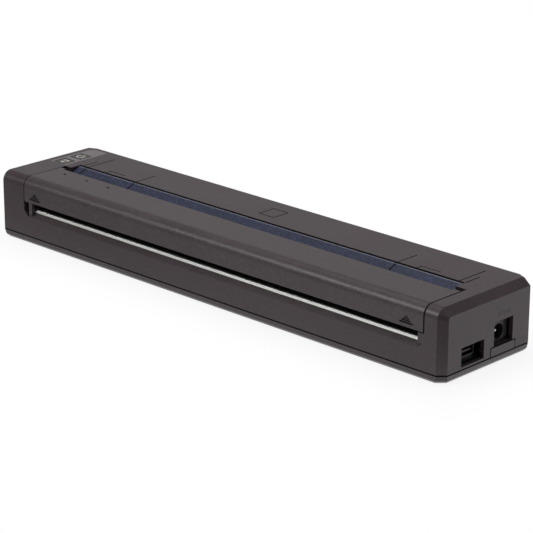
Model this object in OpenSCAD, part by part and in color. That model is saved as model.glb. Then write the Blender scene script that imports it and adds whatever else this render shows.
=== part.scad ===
// A4 portable thermal printer: a slim bar with a hinged release cover over the platen roller,
// a paper inlet on top, an exit slot with a tear bar in front, and a battery bay behind.
// X runs along the bar, -Y is the front, +Z is up; the origin is the bottom centre. Millimetres.

/* [Case] */
// Length of the case, end to end
case_l = 255; // [250:1:262]
// Depth of the case, front to back
case_d = 55; // [54:0.5:60]
// Height of the case
case_h = 30; // [29.5:0.5:33]
// Thickness of the upper housing's walls and top
wall = 2; // [1.8:0.1:2.2]
// Thickness of the floor of the lower housing
floor_t = 2; // [1.6:0.1:2.2]
// Height of the seam between the two housings
seam_z = 3.3; // [3.2:0.1:3.8]
// Width of the shadow groove along the seam
seam_gap = 0.4; // [0.3:0.1:0.5]
// Chamfer round each end face
end_chamfer = 3.1; // [2.6:0.1:3.4]
// Length of the chamfered rear corners along the case
rear_corner_l = 6.5; // [5:0.1:8]
// Radius of the front top edge
front_round = 4.5; // [4:0.25:5]
// Radius of the rear top edge
rear_round = 3.2; // [2.5:0.1:3.6]
// How far the sides of the lower housing lean in at the bottom
base_taper = 1.5; // [1:0.1:2]

/* [Release cover] */
// Length of the closed left end of the case, over the gears
left_end_l = 17; // [16.8:0.1:17.6]
// Length of the closed right end of the case
right_end_l = 9.5; // [9.2:0.1:10]
// Running gap between the cover and the housing
cover_gap = 0.4; // [0.3:0.05:0.5]
// Thickness of the cover
cover_t = 2; // [1.8:0.1:2.1]
// Depth of the cover's top from the front face to its rear edge
cover_top_d = 20.3; // [20:0.1:20.6]
// Height of the cover's front, from the top down
cover_front_h = 10.8; // [10.4:0.1:11.2]
// Radius of the cover's hinge pins
hinge_pin_r = 1; // [0.8:0.1:1.1]

/* [Paper path] */
// Slope of the inlet ramp, drop for each unit of depth
ramp_slope_share = 0.42; // [0.36:0.01:0.46]
// Height of the exit slot's mouth, from the ledge's front edge up to the cover
slot_mouth_h = 6.55; // [6.3:0.05:6.8]
// Thickness of the tear bar
tear_bar_t = 1.1; // [0.9:0.1:1.2]
// Radius of the platen roller over its rubber
platen_r = 5.3; // [5:0.1:5.4]
// Radius of the platen shaft
platen_shaft_r = 2.5; // [2:0.1:2.6]

/* [Drive] */
// Module of the gears
gear_module = 0.5; // [0.48:0.01:0.5]
// Teeth of the platen gear
platen_teeth = 22; // [21:1:22]
// Teeth of the idler gear
idler_teeth = 30; // [28:1:30]
// Teeth of the small wheel of the reduction gear
reduction_small_teeth = 16; // [15:1:17]
// Teeth of the large wheel of the reduction gear
reduction_large_teeth = 36; // [34:1:36]
// Teeth of the motor pinion
pinion_teeth = 12; // [12:1:13]
// Radius of the stepping motor
motor_r = 7.5; // [7:0.1:7.6]
// Length of the stepping motor
motor_l = 16; // [14:0.5:17]

/* [Battery] */
// Height of the battery pack
battery_h = 19.4; // [18.8:0.1:19.6]
// Length that the battery leaves free at the right end, for the sockets
battery_end_gap = 19.9; // [19:0.1:30]

/* [Controls and sockets] */
// Side of each square key
key_w = 6; // [5.6:0.1:6.4]
// Travel of each key
key_travel = 0.5; // [0.3:0.1:0.6]
// Radius of the bore of the power socket
jack_bore_r = 3.15; // [3:0.05:3.3]
// Radius of the centre pin of the power socket
jack_pin_r = 1; // [0.9:0.05:1.05]
// Width of the opening for the data socket
usb_mouth_w = 13.5; // [12.5:0.1:14]

/* [Hidden] */
$fn = 64;

// Cuts run this far past a face
over = 1;
// Thickness of the slabs that a hull joins
skin = 0.01;
// Gap between parts that lie close but don't touch
play = 0.3;
// Radial play of a shaft in its hole
running_play = 0.05;
// Facets of a hulled corner
hull_fn = 48;

half_l = case_l / 2;
half_d = case_d / 2;
inner_top = case_h - wall;
upper_z = seam_z + seam_gap;

// Lip of the lower housing, inside the wall of the upper housing
lip_t = 1;
lip_h = 1.6;
lip_in = wall + play;
rim_in = lip_in + lip_t;

// Release cover and its mouth in the housing
mouth_x0 = -half_l + left_end_l - cover_gap / 2;
mouth_x1 = half_l - right_end_l + cover_gap / 2;
cover_x0 = mouth_x0 + cover_gap;
cover_x1 = mouth_x1 - cover_gap;
cover_rear_y = -half_d + cover_top_d;
cover_low_z = case_h - cover_front_h;
corner_reach = 2;
corner_left_w = 3.2;
corner_right_w = 3.2;
cover_corner_y = cover_rear_y + corner_reach;
corner_notch = 2.2;
mouth_corner_y = cover_corner_y + corner_notch;
rear_edge_r = 1;
rear_edge_t = 1.3;
cover_rib_t = 1.2;
cover_rib_pitch = 18;
cover_rib_reach = 4.4;
cover_rib_drop = 6;
cover_end_reach = 7;
cover_end_drop = 8.4;
finger_tab_inset = 2.95;
finger_tab_x = mouth_x0 + finger_tab_inset;
finger_tab_w = 2;
finger_tab_gap = 0.6;
hinge_drop = 3.4;
hinge_y = cover_rear_y;
hinge_z = case_h - hinge_drop;
ear_t = 2;
ear_r = 2.3;
hinge_pin_reach = 3.2;

// Inlet ramp
ramp_rear_d = 29.8;
ramp_lap = 1.4;
ramp_rim_sink = 0.3;
ramp_t = 1.4;
ramp_rim_r = 0.7;
ramp_left_gap = 4.2;
ramp_right_gap = 5.9;
ramp_kerf = 0.5;
ramp_flange = 4.2;
ramp_flange_t = 1.2;
ramp_rear_y = -half_d + ramp_rear_d;
ramp_rim_y = ramp_rear_y - ramp_rim_r;
ramp_front_y = cover_rear_y - ramp_lap;
ramp_rear_z = case_h - ramp_rim_sink;
ramp_x0 = mouth_x0 + ramp_left_gap;
ramp_x1 = mouth_x1 - ramp_right_gap;
ramp_front_z = ramp_height(ramp_front_y);

// Platen, print head and paper guide
platen_d = 13;
platen_drop = 8.6;
platen_y = -half_d + platen_d;
platen_z = case_h - platen_drop;
platen_left_gap = 1;
platen_right_gap = 1.6;
platen_x0 = ramp_x0 + platen_left_gap;
platen_x1 = ramp_x1 + platen_right_gap;
paper_play = 0.25;
nip_z = platen_z - platen_r - paper_play;
head_t = 0.65;
heatsink_t = 2.6;
head_front = 6;
head_rear = 6.2;
heatsink_rear = 9.2;
head_margin = 2.2;
head_x0 = platen_x0 + head_margin;
head_x1 = platen_x1 - head_margin;
head_line_h = 0.1;
head_line_w = 1;
driver_cover_h = 0.9;
driver_cover_w = 3;
heatsink_top_z = nip_z - head_t;
heatsink_low_z = heatsink_top_z - heatsink_t;
trunnion_r = 1.2;
trunnion_back = 5;
trunnion_y = platen_y + trunnion_back;
trunnion_z = heatsink_low_z + heatsink_t / 2;
guide_gap = 0.9;
guide_r = platen_r + guide_gap;
guide_t = 1.2;
guide_low_angle = -32;
guide_high_angle = 16;

// Exit slot, ledge and tear bar
slot_left_inset = 2.45;
slot_right_inset = 3;
slot_left_x = mouth_x0 + slot_left_inset;
slot_right_x = mouth_x1 - slot_right_inset;
ledge_in = 2.1;
ledge_rise = 1.95;
ledge_z = cover_low_z - slot_mouth_h;
ledge_top_z = ledge_z + ledge_rise;
ledge_back = 5;
ledge_back_y = -half_d + ledge_back;
ledge_block_t = 2.2;
notch_corner = 2.6;
tear_bar_w = 2.6;
tear_bar_edge = 0.3;
tear_bar_inset = 1.6;
tear_bar_y = -half_d + ledge_in;
tear_bar_x0 = slot_left_x + tear_bar_inset;
exit_guide_w = 2;
exit_rib_pitch = 1.3;
exit_rib_t = 0.6;
exit_rib_h = 0.5;
exit_group_pitch = 36;
exit_group_shift = 3.6;

// Height of the main board
board_gap = 2;
board_t = 1.2;
board_z = floor_t + board_gap;
board_top_z = board_z + board_t;

// Side plates that carry the mechanism
plate_t = 1.2;
plate_gap = 0.35;
plate_edge_gap = 0.4;
left_plate_x1 = mouth_x0 - plate_gap;
left_plate_x0 = left_plate_x1 - plate_t;
right_plate_x0 = mouth_x1 + plate_gap;
right_plate_x1 = right_plate_x0 + plate_t;
plate_front_y = -half_d + rim_in + plate_edge_gap;
plate_top_z = inner_top - play;
plate_foot = 5;
left_plate_rear_y = half_d - rim_in - plate_edge_gap;
right_plate_inset = 0.8;
right_plate_rear_y = ramp_rear_y - right_plate_inset;
bush_r = 4;
bush_flange_r = 4.8;
bush_flange_t = 0.8;
bush_in = 1.6;
stay_t = 1;
stay_lip_share = 0.43;
stay_front = 5;
stay_back = 6;
stay_rise = 2.8;
stay_y0 = platen_y - stay_front;
stay_y1 = platen_y + stay_back;
stay_z = board_top_z + stay_rise;
stay_lip = (heatsink_low_z - stay_z) * stay_lip_share;
spring_r = 2.3;
spring_wire = 0.5;
spring_count = 5;
spring_forward = 0.5;
spring_y = platen_y - spring_forward;
cable_t = 0.3;
cable_w = 28;
cable_x = 15;
cable_foot = 3;

// Gear train, outside the left side plate
gear_layer = 3;
gear_side_gap = 0.6;
gear_x1 = left_plate_x0 - gear_side_gap - bush_flange_t;
gear_x0 = gear_x1 - gear_layer;
large_wheel_t = 2.4;
large_x1 = gear_x0 - gear_side_gap;
large_x0 = large_x1 - large_wheel_t;
axle_r = 1;
axle_shoulder_r = 1.9;
ring_t = 0.5;
ring_r = 1.7;
pressure_angle = 20;
gear_play = 0.1;
gear_backlash = 0.045;
idler_angle = -46.6;
reduction_angle = 13;
motor_floor_gap = 0.36;
platen_phase = 0;
idler_d = mesh_distance(platen_teeth, idler_teeth);
idler_y = platen_y + idler_d * cos(idler_angle);
idler_z = platen_z + idler_d * sin(idler_angle);
reduction_d = mesh_distance(idler_teeth, reduction_small_teeth);
reduction_y = idler_y + reduction_d * cos(reduction_angle);
reduction_z = idler_z + reduction_d * sin(reduction_angle);
pinion_d = mesh_distance(reduction_large_teeth, pinion_teeth);
motor_z = floor_t + motor_floor_gap + motor_r;
pinion_angle = asin((motor_z - reduction_z) / pinion_d);
motor_y = reduction_y + pinion_d * cos(pinion_angle);
idler_phase = mesh_phase(platen_phase, platen_teeth, idler_teeth, idler_angle);
small_phase = mesh_phase(idler_phase, idler_teeth, reduction_small_teeth, reduction_angle);
large_phase = small_phase;
pinion_phase = mesh_phase(large_phase, reduction_large_teeth, pinion_teeth, pinion_angle);
motor_shaft_r = 0.75;
motor_shaft_sink = 2;
motor_boss_r = 3;
motor_boss_t = 0.9;
motor_ear_r = 2.2;
motor_ear_t = 0.8;
motor_ear_half_w = 4.1;
motor_ear_rise = 7.3;
motor_ear_z = motor_z + motor_ear_rise;
motor_screw_r = 0.8;
motor_screw_head_t = 0.8;

// Keys and their board
panel_left_inset = 6;
panel_right_gap = 0.9;
panel_front_d = 25.1;
panel_rear_inset = 4.6;
panel_x0 = -half_l + panel_left_inset;
panel_x1 = mouth_x0 - panel_right_gap;
panel_y0 = -half_d + panel_front_d;
panel_y1 = half_d - panel_rear_inset;
panel_corner = 2;
panel_t = 1.2;
panel_gap = 0.1;
feed_key_d = 4;
power_key_d = 13.7;
key_x = (panel_x0 + panel_x1) / 2;
feed_key_y = panel_y0 + feed_key_d;
power_key_y = panel_y0 + power_key_d;
key_gap = 0.3;
key_h = 2.3;
key_rim = 0.6;
key_rim_t = 0.7;
key_rim_gap = 0.1;
key_rest_gap = 0.1;
key_board_t = 1;
switch_w = 4.4;
switch_h = 0.6;
switch_stem_r = 1;
switch_stem_h = 0.25;
key_low_z = case_h - key_h;
switch_top_z = key_low_z - key_travel - key_rest_gap;
key_board_z = switch_top_z - switch_stem_h - switch_h - key_board_t;
key_board_top_z = key_board_z + key_board_t;
key_board_w = 8;
key_board_reach = 7.2;
key_board_y1 = power_key_y + key_board_reach;
key_post_w = 1.6;

// Status lights in the release cover
light_back = 4.4;
light_inset = 9.5;
light_y = cover_rear_y - light_back;
light_first_x = mouth_x0 + light_inset;
light_pitch = 14;
light_r = 0.7;
light_play = 0.05;
light_sink = 0.4;
light_flange_r = 1.3;
light_flange_t = 0.3;
led_board_t = 0.4;
led_chip_w = 1.6;
led_chip_t = 0.3;
led_board_margin = 2.6;

// Main board and what stands on it
board_left_inset = 7;
battery_front_gap = 2.4;
board_battery_gap = 1.9;
board_rear_y = ramp_rear_y + battery_front_gap - board_battery_gap;
board_x0 = mouth_x0 + board_left_inset;
board_x1 = half_l - rim_in;
board_y0 = -half_d + rim_in + plate_edge_gap;
board_arm_l = 13.4;
board_post_r = 2.4;
board_screw_r = 1;
board_screw_head_t = 0.9;
board_screw_left_inset = 5;
board_screw_right_inset = 20;
board_screw_front_inset = 3.2;
board_screw_x = [board_x0 + board_screw_left_inset, 0, board_x1 - board_screw_right_inset];
board_screw_y = board_y0 + board_screw_front_inset;
chip_shares = [
  [-0.56, 0.04, 0.2, 0.04], [-0.24, 0.05, 0.24, 0.05], [0.27, 0.05, 0.2, 0.04],
  [0.49, 0.025, 0.15, 0.05], [0.7, 0.03, 0.12, 0.035]
];

// Data socket
usb_w = 7.7;
usb_h = 4;
usb_base_h = 1.8;
usb_l = 9;
usb_sink = 2.8;
usb_shell_t = 0.4;
usb_tongue_t = 0.8;
usb_mouth_d = 17.8;
usb_mouth_y = -half_d + usb_mouth_d;
usb_mouth_low_z = 4.7;
usb_mouth_high_z = 12.5;
usb_side_gap = 1;
usb_top_gap = 0.4;
usb_notch_y0 = usb_mouth_y - usb_w / 2 - usb_side_gap;
usb_notch_y1 = usb_mouth_y + usb_w / 2 + usb_side_gap;
usb_notch_z = board_top_z + usb_base_h + usb_h + usb_top_gap;

// Power socket
jack_rear_d = 18.9;
jack_y = half_d - jack_rear_d;
jack_z = 11.8;
jack_w = 11;
jack_l = 13.5;
board_arm_margin = 2;
board_arm_y = jack_y + jack_w / 2 + board_arm_margin;
jack_sink = 2.7;
jack_depth = 10;
jack_top_z = 17.1;
jack_pin_sink = 1;
recess_w = 11.4;
recess_high_z = 17.4;
recess_low_z = 7.6;
tongue_w = 14.6;
tongue_z = 7.2;
tongue_r = 1;
tongue_t = 1.8;

// Battery, its bay and its door
battery_inset = 21.4;
battery_rear_gap = 1.4;
battery_x0 = mouth_x0 + battery_inset;
battery_x1 = half_l - battery_end_gap;
battery_y1 = half_d - wall - battery_rear_gap;
battery_y0 = ramp_rear_y + battery_front_gap;
battery_w = battery_y1 - battery_y0;
battery_z0 = floor_t + lip_t;
battery_z1 = battery_z0 + battery_h;
battery_corner_r = 3;
battery_rib_t = 1.2;
battery_rib_h = 6;
battery_rib_inset = 8;
battery_recess = 1;
door_t = wall;
door_gap = 0.3;
door_r = door_t / 2;
door_inset = 2.5;
door_pivot_rise = 3.2;
door_top_gap = 0.6;
door_pivot_y = half_d - door_r;
door_pivot_z = seam_z + door_pivot_rise;
door_x0 = battery_x0 + door_inset;
door_x1 = battery_x1 - door_inset;
door_top_z = battery_z1 + door_top_gap;
door_pin_r = 0.5;
door_pin_l = 1.5;
door_grip_w = 14;
door_grip_h = 2.2;
door_grip_t = 0.8;
connector_l = 2.6;
contact_count = 4;
contact_pitch = 4;
contact_w = 1.4;
contact_t = 0.5;
contact_z = (battery_z0 + battery_z1) / 2;

// Paper sensor
sensor_x = -40;
sensor_back = 6.6;
sensor_drop = 6.4;
sensor_y = ramp_front_y + sensor_back;
sensor_z = ramp_front_z - sensor_drop;
lever_t = 1.6;
lever_r = 1.5;
lever_pin_r = 0.6;
lever_arm = 1;
lever_tip_in = 0.6;
lever_tip_y = ramp_front_y + lever_tip_in;
lever_tip_lift = 0.9;
lever_tail_l = 4.5;
lever_slot_w = 3;
lever_slot_l = 4;
sensor_w = 7;
sensor_leg_t = 1.6;
sensor_base_t = 1.5;
sensor_base_drop = 6;

// Fasteners
screw_r = 1;
screw_head_r = 1.9;
screw_head_t = 1.3;
screw_well = 0.6;
screw_l = 7;
screw_slot_w = 0.6;
screw_slot_d = 0.8;
case_post_r = 2.5;
case_post_end_inset = 4.2;
case_post_front_inset = 8;
case_post_rear_inset = 6;
case_screw_x = [-half_l + case_post_end_inset, half_l - case_post_end_inset];
case_screw_y = [-half_d + case_post_front_inset, half_d - case_post_rear_inset];
plate_screw_r = 0.8;
plate_screw_head_r = 1.5;
plate_screw_head_t = 0.6;
plate_screw_x = [left_plate_x0 - plate_foot / 2, right_plate_x0 - plate_foot / 2];
plate_screw_y = (stay_y0 + platen_y) / 2;

// Engraved marks
mark_w = 0.55;
mark_depth = 0.3;
paper_centre_x = 4;
mark_clearance = 1;
a4_half_w = 105;
a5_half_w = 74;
letter_half_w = 108;
a4_mark_l = 16;
a5_mark_l = 11.5;
letter_mark_l = 8.5;
arrow_in = 84.6;
arrow_l = 10;
arrow_tick = 2.4;
arrow_gap = 2.6;
page_x = 1.8;
page_w = 8.8;
page_l = 9.2;
page_gap = 5.6;
triangle_w = 7.4;
triangle_h = 3.4;
triangle_rib = 0.25;
triangle_rows = 4;
triangle_left_inset = 7.3;
triangle_right_inset = 8.8;
triangle_rise = 1.4;
triangle_left_x = mouth_x0 + triangle_left_inset;
triangle_right_x = mouth_x1 - triangle_right_inset;
triangle_z = cover_low_z + triangle_rise;

// Height of the ramp's surface at depth y
function ramp_height(y) = ramp_rear_z - (ramp_rim_y - y) * ramp_slope_share;

// Height of the ledge's slope at depth y
function ledge_height(y) = ledge_z + (y + half_d) * ledge_rise / ledge_in;

// Distance between the axes of two meshing gears
function mesh_distance(a, b) = (a + b) * gear_module / 2 + gear_play;

// Phase of gear b so that it meshes with gear a, seen at the angle from a to b
function mesh_phase(phase_a, a, b, angle) =
  angle + 180 + (180 - (phase_a - angle) * a) / b;

// Involute of an angle, in degrees
function involute(angle) = tan(angle) * 180 / PI - angle;

// Half angle of a tooth at radius r, for a pitch radius p and a base radius q
function tooth_half(r, p, q, teeth) =
  90 / teeth - gear_backlash / p * 180 / PI + involute(pressure_angle)
  - (r > q ? involute(acos(q / r)) : 0);

// Outline of an involute gear, a few points on each flank
function gear_points(teeth) =
  let (
    p = teeth * gear_module / 2,
    q = p * cos(pressure_angle),
    root = p - gear_module * 1.2,
    tip = p + gear_module * 0.9,
    radii = [root, max(q, root), p, (p + tip) / 2, tip]
  )
  [
    for (t = [0:teeth - 1])
      for (s = [-1, 1])
        for (k = [0:4])
          let (
            r = radii[s < 0 ? k : 4 - k],
            a = t * 360 / teeth + s * tooth_half(r, p, q, teeth)
          )
          [r * cos(a), r * sin(a)]
  ];

// Points of an arc about y, z from one angle to another
function arc_points(y, z, r, a0, a1, steps = 12) =
  [for (k = [0:steps]) let (a = a0 + k * (a1 - a0) / steps) [y + r * cos(a), z + r * sin(a)]];

// Box between two corners
module box(x, y, z) {
  translate([x[0], y[0], z[0]])
    cube([x[1] - x[0], y[1] - y[0], z[1] - z[0]]);
}

// Outline in the Y-Z plane carried along X
module along_x(x0, x1) {
  translate([x0, 0, 0])
    rotate([90, 0, 90])
      linear_extrude(x1 - x0)
        children();
}

// Outline in the X-Z plane carried along Y
module along_y(y0, y1) {
  translate([0, y1, 0])
    rotate([90, 0, 0])
      linear_extrude(y1 - y0)
        children();
}

// Round bar along X
module rod_x(x0, x1, y, z, r) {
  along_x(x0, x1)
    translate([y, z])
      circle(r);
}

// Round bar along Z
module rod_z(x, y, z0, z1, r) {
  translate([x, y, z0])
    cylinder(h = z1 - z0, r = r);
}

// Rectangle whose two upper corners are rounded, seen from the end of the case
module side_outline(y0, y1, z0, z1, front_r, rear_r) {
  translate([y0, z0])
    square([front_r, z1 - z0 - front_r]);
  translate([y0 + front_r, z0])
    square([y1 - y0 - front_r - rear_r, z1 - z0]);
  translate([y1 - rear_r, z0])
    square([rear_r, z1 - z0 - rear_r]);
  translate([y0 + front_r, z1 - front_r])
    circle(front_r);
  translate([y1 - rear_r, z1 - rear_r])
    circle(rear_r);
}

// Plan of the case, set in evenly, with chamfered corners that are longer at the rear
module plan_outline(inset, corner) {
  x = half_l - inset;
  y = half_d - inset;
  rear_angle = atan2(end_chamfer, rear_corner_l);
  rear_x = half_l - rear_corner_l - inset * tan(rear_angle / 2);
  rear_y = half_d - end_chamfer - inset * tan(45 - rear_angle / 2);
  polygon([
    [-x + corner, -y], [x - corner, -y], [x, -y + corner], [x, rear_y],
    [rear_x, y], [-rear_x, y], [-x, rear_y], [-x, -y + corner]
  ]);
}

// One chamfered end of the upper form: the side outline drawn in towards the end face
module end_cap(side) {
  small_r = max(rear_round - end_chamfer, skin);
  mid_y = half_d - skin - end_chamfer * (rear_corner_l - end_chamfer) / rear_corner_l;
  hull($fn = hull_fn) {
    mirror([side < 0 ? 1 : 0, 0, 0]) {
      along_x(half_l - rear_corner_l - skin, half_l - rear_corner_l)
        side_outline(-half_d, half_d, upper_z, case_h, front_round, rear_round);
      along_x(half_l - end_chamfer - skin, half_l - end_chamfer)
        side_outline(-half_d, mid_y, upper_z, case_h, front_round, rear_round);
      along_x(half_l - skin, half_l)
        side_outline(
          -half_d + end_chamfer, half_d - end_chamfer, upper_z, case_h - end_chamfer,
          front_round - end_chamfer, small_r
        );
    }
  }
}

// Outer form of the upper housing
module upper_form() {
  along_x(-half_l + rear_corner_l, half_l - rear_corner_l)
    side_outline(-half_d, half_d, upper_z, case_h, front_round, rear_round);
  end_cap(-1);
  end_cap(1);
}

// Hollow of the upper housing, open below
module upper_hollow() {
  inner_l = half_l - wall;
  inner_corner = end_chamfer - wall * (2 - sqrt(2));
  intersection() {
    along_x(-inner_l, inner_l)
      side_outline(
        -half_d + wall, half_d - wall, seam_z - over, inner_top,
        front_round - wall, rear_round - wall
      );
    linear_extrude(case_h)
      plan_outline(wall, inner_corner);
    along_y(-half_d, half_d)
      polygon([
        [-inner_l, seam_z - over], [inner_l, seam_z - over],
        [inner_l, inner_top - inner_corner], [inner_l - inner_corner, inner_top],
        [-inner_l + inner_corner, inner_top], [-inner_l, inner_top - inner_corner]
      ]);
  }
}

// Mouth that the release cover fills, and the inlet behind it
module cover_mouth() {
  top = [cover_low_z - cover_gap, case_h + over];
  box([mouth_x0, mouth_x1], [-half_d - over, mouth_corner_y], top);
  box(
    [ramp_x0 - ramp_kerf, ramp_x1 + ramp_kerf],
    [cover_rear_y, ramp_rear_y + ramp_kerf],
    [inner_top - over, case_h + over]
  );
}

// Slot in the front wall, with the sloping ledge under it
module exit_mouth() {
  front_y = -half_d;
  along_x(slot_left_x, slot_right_x)
    polygon([
      [front_y - over, ledge_z], [front_y, ledge_z], [front_y + ledge_in, ledge_top_z],
      [ledge_back_y + over, ledge_top_z], [ledge_back_y + over, cover_low_z],
      [front_y - over, cover_low_z]
    ]);
  translate([slot_right_x, front_y, ledge_z])
    cylinder(h = ledge_rise, r1 = skin, r2 = ledge_in);
  along_y(front_y - over, front_y + wall + over)
    polygon([
      [mouth_x0, cover_low_z], [mouth_x0, ledge_z + notch_corner],
      [slot_left_x, ledge_z], [slot_left_x + over, cover_low_z]
    ]);
}

// Block behind the front wall that carries the tear bar
module ledge_block() {
  box(
    [slot_left_x, slot_right_x],
    [-half_d + wall - skin, ledge_back_y],
    [ledge_top_z - ledge_block_t, ledge_top_z]
  );
}

// Shallow line engraved in the top, from one point to another along X or Y
module top_mark(x, y) {
  box(x, y, [case_h - mark_depth, case_h + over]);
}

// Line across the top at x, from the inlet back
module width_mark(x, l) {
  line_y0 = ramp_rear_y + ramp_kerf;
  top_mark([x - mark_w / 2, x + mark_w / 2], [line_y0, line_y0 + l]);
}

// Paper width marks, insertion marks and page mark behind the inlet
module top_marks() {
  line_y0 = ramp_rear_y + ramp_kerf;
  arrow_y = line_y0 + arrow_gap;
  page_x0 = page_x - page_w / 2;
  page_y0 = line_y0 + page_gap;
  for (s = [-1, 1]) {
    width_mark(paper_centre_x + s * (a4_half_w + mark_clearance), a4_mark_l);
    width_mark(paper_centre_x + s * (a5_half_w + mark_clearance), a5_mark_l);
    width_mark(paper_centre_x + s * (letter_half_w + mark_clearance), letter_mark_l);
    arrow_x = paper_centre_x + (s < 0 ? -arrow_in - arrow_l : arrow_in);
    top_mark([arrow_x, arrow_x + arrow_l], [arrow_y - mark_w / 2, arrow_y + mark_w / 2]);
    top_mark([arrow_x, arrow_x + mark_w], [arrow_y - arrow_tick, arrow_y]);
  }
  difference() {
    top_mark([page_x0, page_x0 + page_w], [page_y0, page_y0 + page_l]);
    top_mark(
      [page_x0 + mark_w, page_x0 + page_w - mark_w],
      [page_y0 + mark_w, page_y0 + page_l - mark_w]
    );
  }
}

// Opening and hinge holes for the battery door
module door_opening() {
  box(
    [door_x0 - door_gap, door_x1 + door_gap],
    [half_d - wall - over, half_d + over],
    [door_pivot_z - door_r - door_gap, door_top_z + door_gap]
  );
  rod_x(
    door_x0 - door_pin_l - play, door_x1 + door_pin_l + play,
    door_pivot_y, door_pivot_z, door_pin_r + running_play
  );
}

// Openings in the right end for the two sockets
module socket_openings() {
  end_x = [half_l - wall - over, half_l + over];
  box(
    end_x, [usb_mouth_y - usb_mouth_w / 2, usb_mouth_y + usb_mouth_w / 2],
    [usb_mouth_low_z, usb_mouth_high_z]
  );
  box(end_x, [jack_y - recess_w / 2, jack_y + recess_w / 2], [recess_low_z, recess_high_z]);
  along_x(end_x[0], end_x[1])
    tongue_outline(play);
}

// Tongue of the lower housing that closes the end face below the power socket
module tongue_outline(grow) {
  w = tongue_w / 2 + grow;
  r = tongue_r + grow;
  high = tongue_z + grow;
  translate([jack_y - w, seam_z - over])
    square([2 * w, high - r - seam_z + over]);
  translate([jack_y - w + r, seam_z - over])
    square([2 * (w - r), high - seam_z + over]);
  for (s = [-1, 1])
    translate([jack_y + s * (w - r), high - r])
      circle(r);
}

// Outline of the inlaid key panel, grown by a gap
module panel_outline(grow) {
  x0 = panel_x0 - grow;
  x1 = panel_x1 + grow;
  y0 = panel_y0 - grow;
  y1 = panel_y1 + grow;
  polygon([
    [x0, y0], [x1, y0], [x1, y1], [x0 + panel_corner, y1], [x0, y1 - panel_corner]
  ]);
}

// Hollow posts in the upper housing that take the case screws
module case_posts() {
  for (x = case_screw_x)
    for (y = case_screw_y)
      rod_z(x, y, upper_z, inner_top + skin, case_post_r);
}

module upper_housing() {
  color([0.27, 0.25, 0.26])
    difference() {
      union() {
        difference() {
          upper_form();
          upper_hollow();
        }
        ledge_block();
        key_board_posts();
        difference() {
          intersection() {
            case_posts();
            upper_form();
          }
          case_screw_bores();
        }
      }
      cover_mouth();
      exit_mouth();
      door_opening();
      socket_openings();
      translate([0, 0, case_h - panel_t])
        linear_extrude(panel_t + over)
          panel_outline(panel_gap);
      for (y = [feed_key_y, power_key_y])
        box(
          [key_x - key_w / 2 - key_rim - key_gap, key_x + key_w / 2 + key_rim + key_gap],
          [y - key_w / 2 - key_rim - key_gap, y + key_w / 2 + key_rim + key_gap],
          [inner_top - over, case_h]
        );
      top_marks();
    }
}

// Blind holes in the posts for the case screws
module case_screw_bores() {
  for (x = case_screw_x)
    for (y = case_screw_y)
      rod_z(x, y, upper_z - over, screw_head_t + screw_well + screw_l + play, screw_r);
}

// Posts under the top that hold the key board
module key_board_posts() {
  for (y = [(feed_key_y + power_key_y) / 2, key_board_y1 - key_post_w])
    box(
      [key_x - key_post_w, key_x + key_post_w],
      [y - key_post_w / 2, y + key_post_w / 2],
      [key_board_top_z, inner_top + skin]
    );
}

// Outer form of the lower housing: upright at the seam, leaning in to the base
module lower_form() {
  mid_share = 0.35;
  mid_inset_share = 0.3;
  hull() {
    translate([0, 0, seam_z - skin])
      linear_extrude(skin)
        plan_outline(0, end_chamfer);
    translate([0, 0, seam_z * mid_share])
      linear_extrude(skin)
        plan_outline(base_taper * mid_inset_share, end_chamfer);
    linear_extrude(skin)
      plan_outline(base_taper, end_chamfer);
  }
}

// Lip that locates the upper housing, open at the sockets and the battery door
module housing_lip() {
  difference() {
    translate([0, 0, floor_t])
      linear_extrude(seam_z + lip_h - floor_t)
        plan_outline(lip_in, end_chamfer - play);
    translate([0, 0, floor_t - over])
      linear_extrude(case_h)
        plan_outline(rim_in, end_chamfer);
    box(
      [board_x1 - over, half_l],
      [usb_mouth_y - usb_mouth_w / 2 - play, jack_y + tongue_w / 2 + play],
      [seam_z, case_h]
    );
    box([door_x0 - door_gap, door_x1 + door_gap], [battery_y1, half_d], [seam_z, case_h]);
    for (x = case_screw_x)
      for (y = case_screw_y)
        rod_z(x, y, seam_z, case_h, case_post_r + play);
  }
}

module lower_housing() {
  color([0.3, 0.28, 0.29])
    difference() {
      union() {
        difference() {
          lower_form();
          translate([0, 0, floor_t])
            linear_extrude(case_h)
              plan_outline(rim_in, end_chamfer);
        }
        housing_lip();
        along_x(half_l - tongue_t, half_l)
          intersection() {
            tongue_outline(0);
            translate([jack_y - tongue_w, seam_z - seam_gap])
              square([2 * tongue_w, tongue_z]);
          }
        for (x = board_screw_x)
          rod_z(x, board_screw_y, floor_t - skin, board_z, board_post_r);
        battery_ribs();
        for (x = case_screw_x)
          for (y = case_screw_y)
            rod_z(x, y, floor_t - skin, upper_z - play, case_post_r);
      }
      for (x = case_screw_x)
        for (y = case_screw_y) {
          rod_z(x, y, -over, screw_well + screw_head_t, screw_head_r + play);
          rod_z(x, y, -over, upper_z, screw_r + running_play);
        }
      for (x = board_screw_x)
        rod_z(x, board_screw_y, board_z - 3 * board_screw_r, board_z + over, board_screw_r);
      for (x = plate_screw_x)
        rod_z(x, plate_screw_y, screw_well, floor_t + over, plate_screw_r);
    }
}

// Ribs on the floor that cradle the battery
module battery_ribs() {
  mid_x = (battery_x0 + battery_x1) / 2;
  wall_y1 = battery_y0 - play;
  for (x = [battery_x0 + battery_rib_inset, mid_x, battery_x1 - battery_rib_inset]) {
    box([x, x + battery_rib_t], [battery_y0, battery_y1], [floor_t - skin, battery_z0]);
    box(
      [x, x + battery_rib_t], [wall_y1 - battery_rib_t, wall_y1],
      [floor_t - skin, battery_z0 + battery_rib_h]
    );
  }
}

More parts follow.
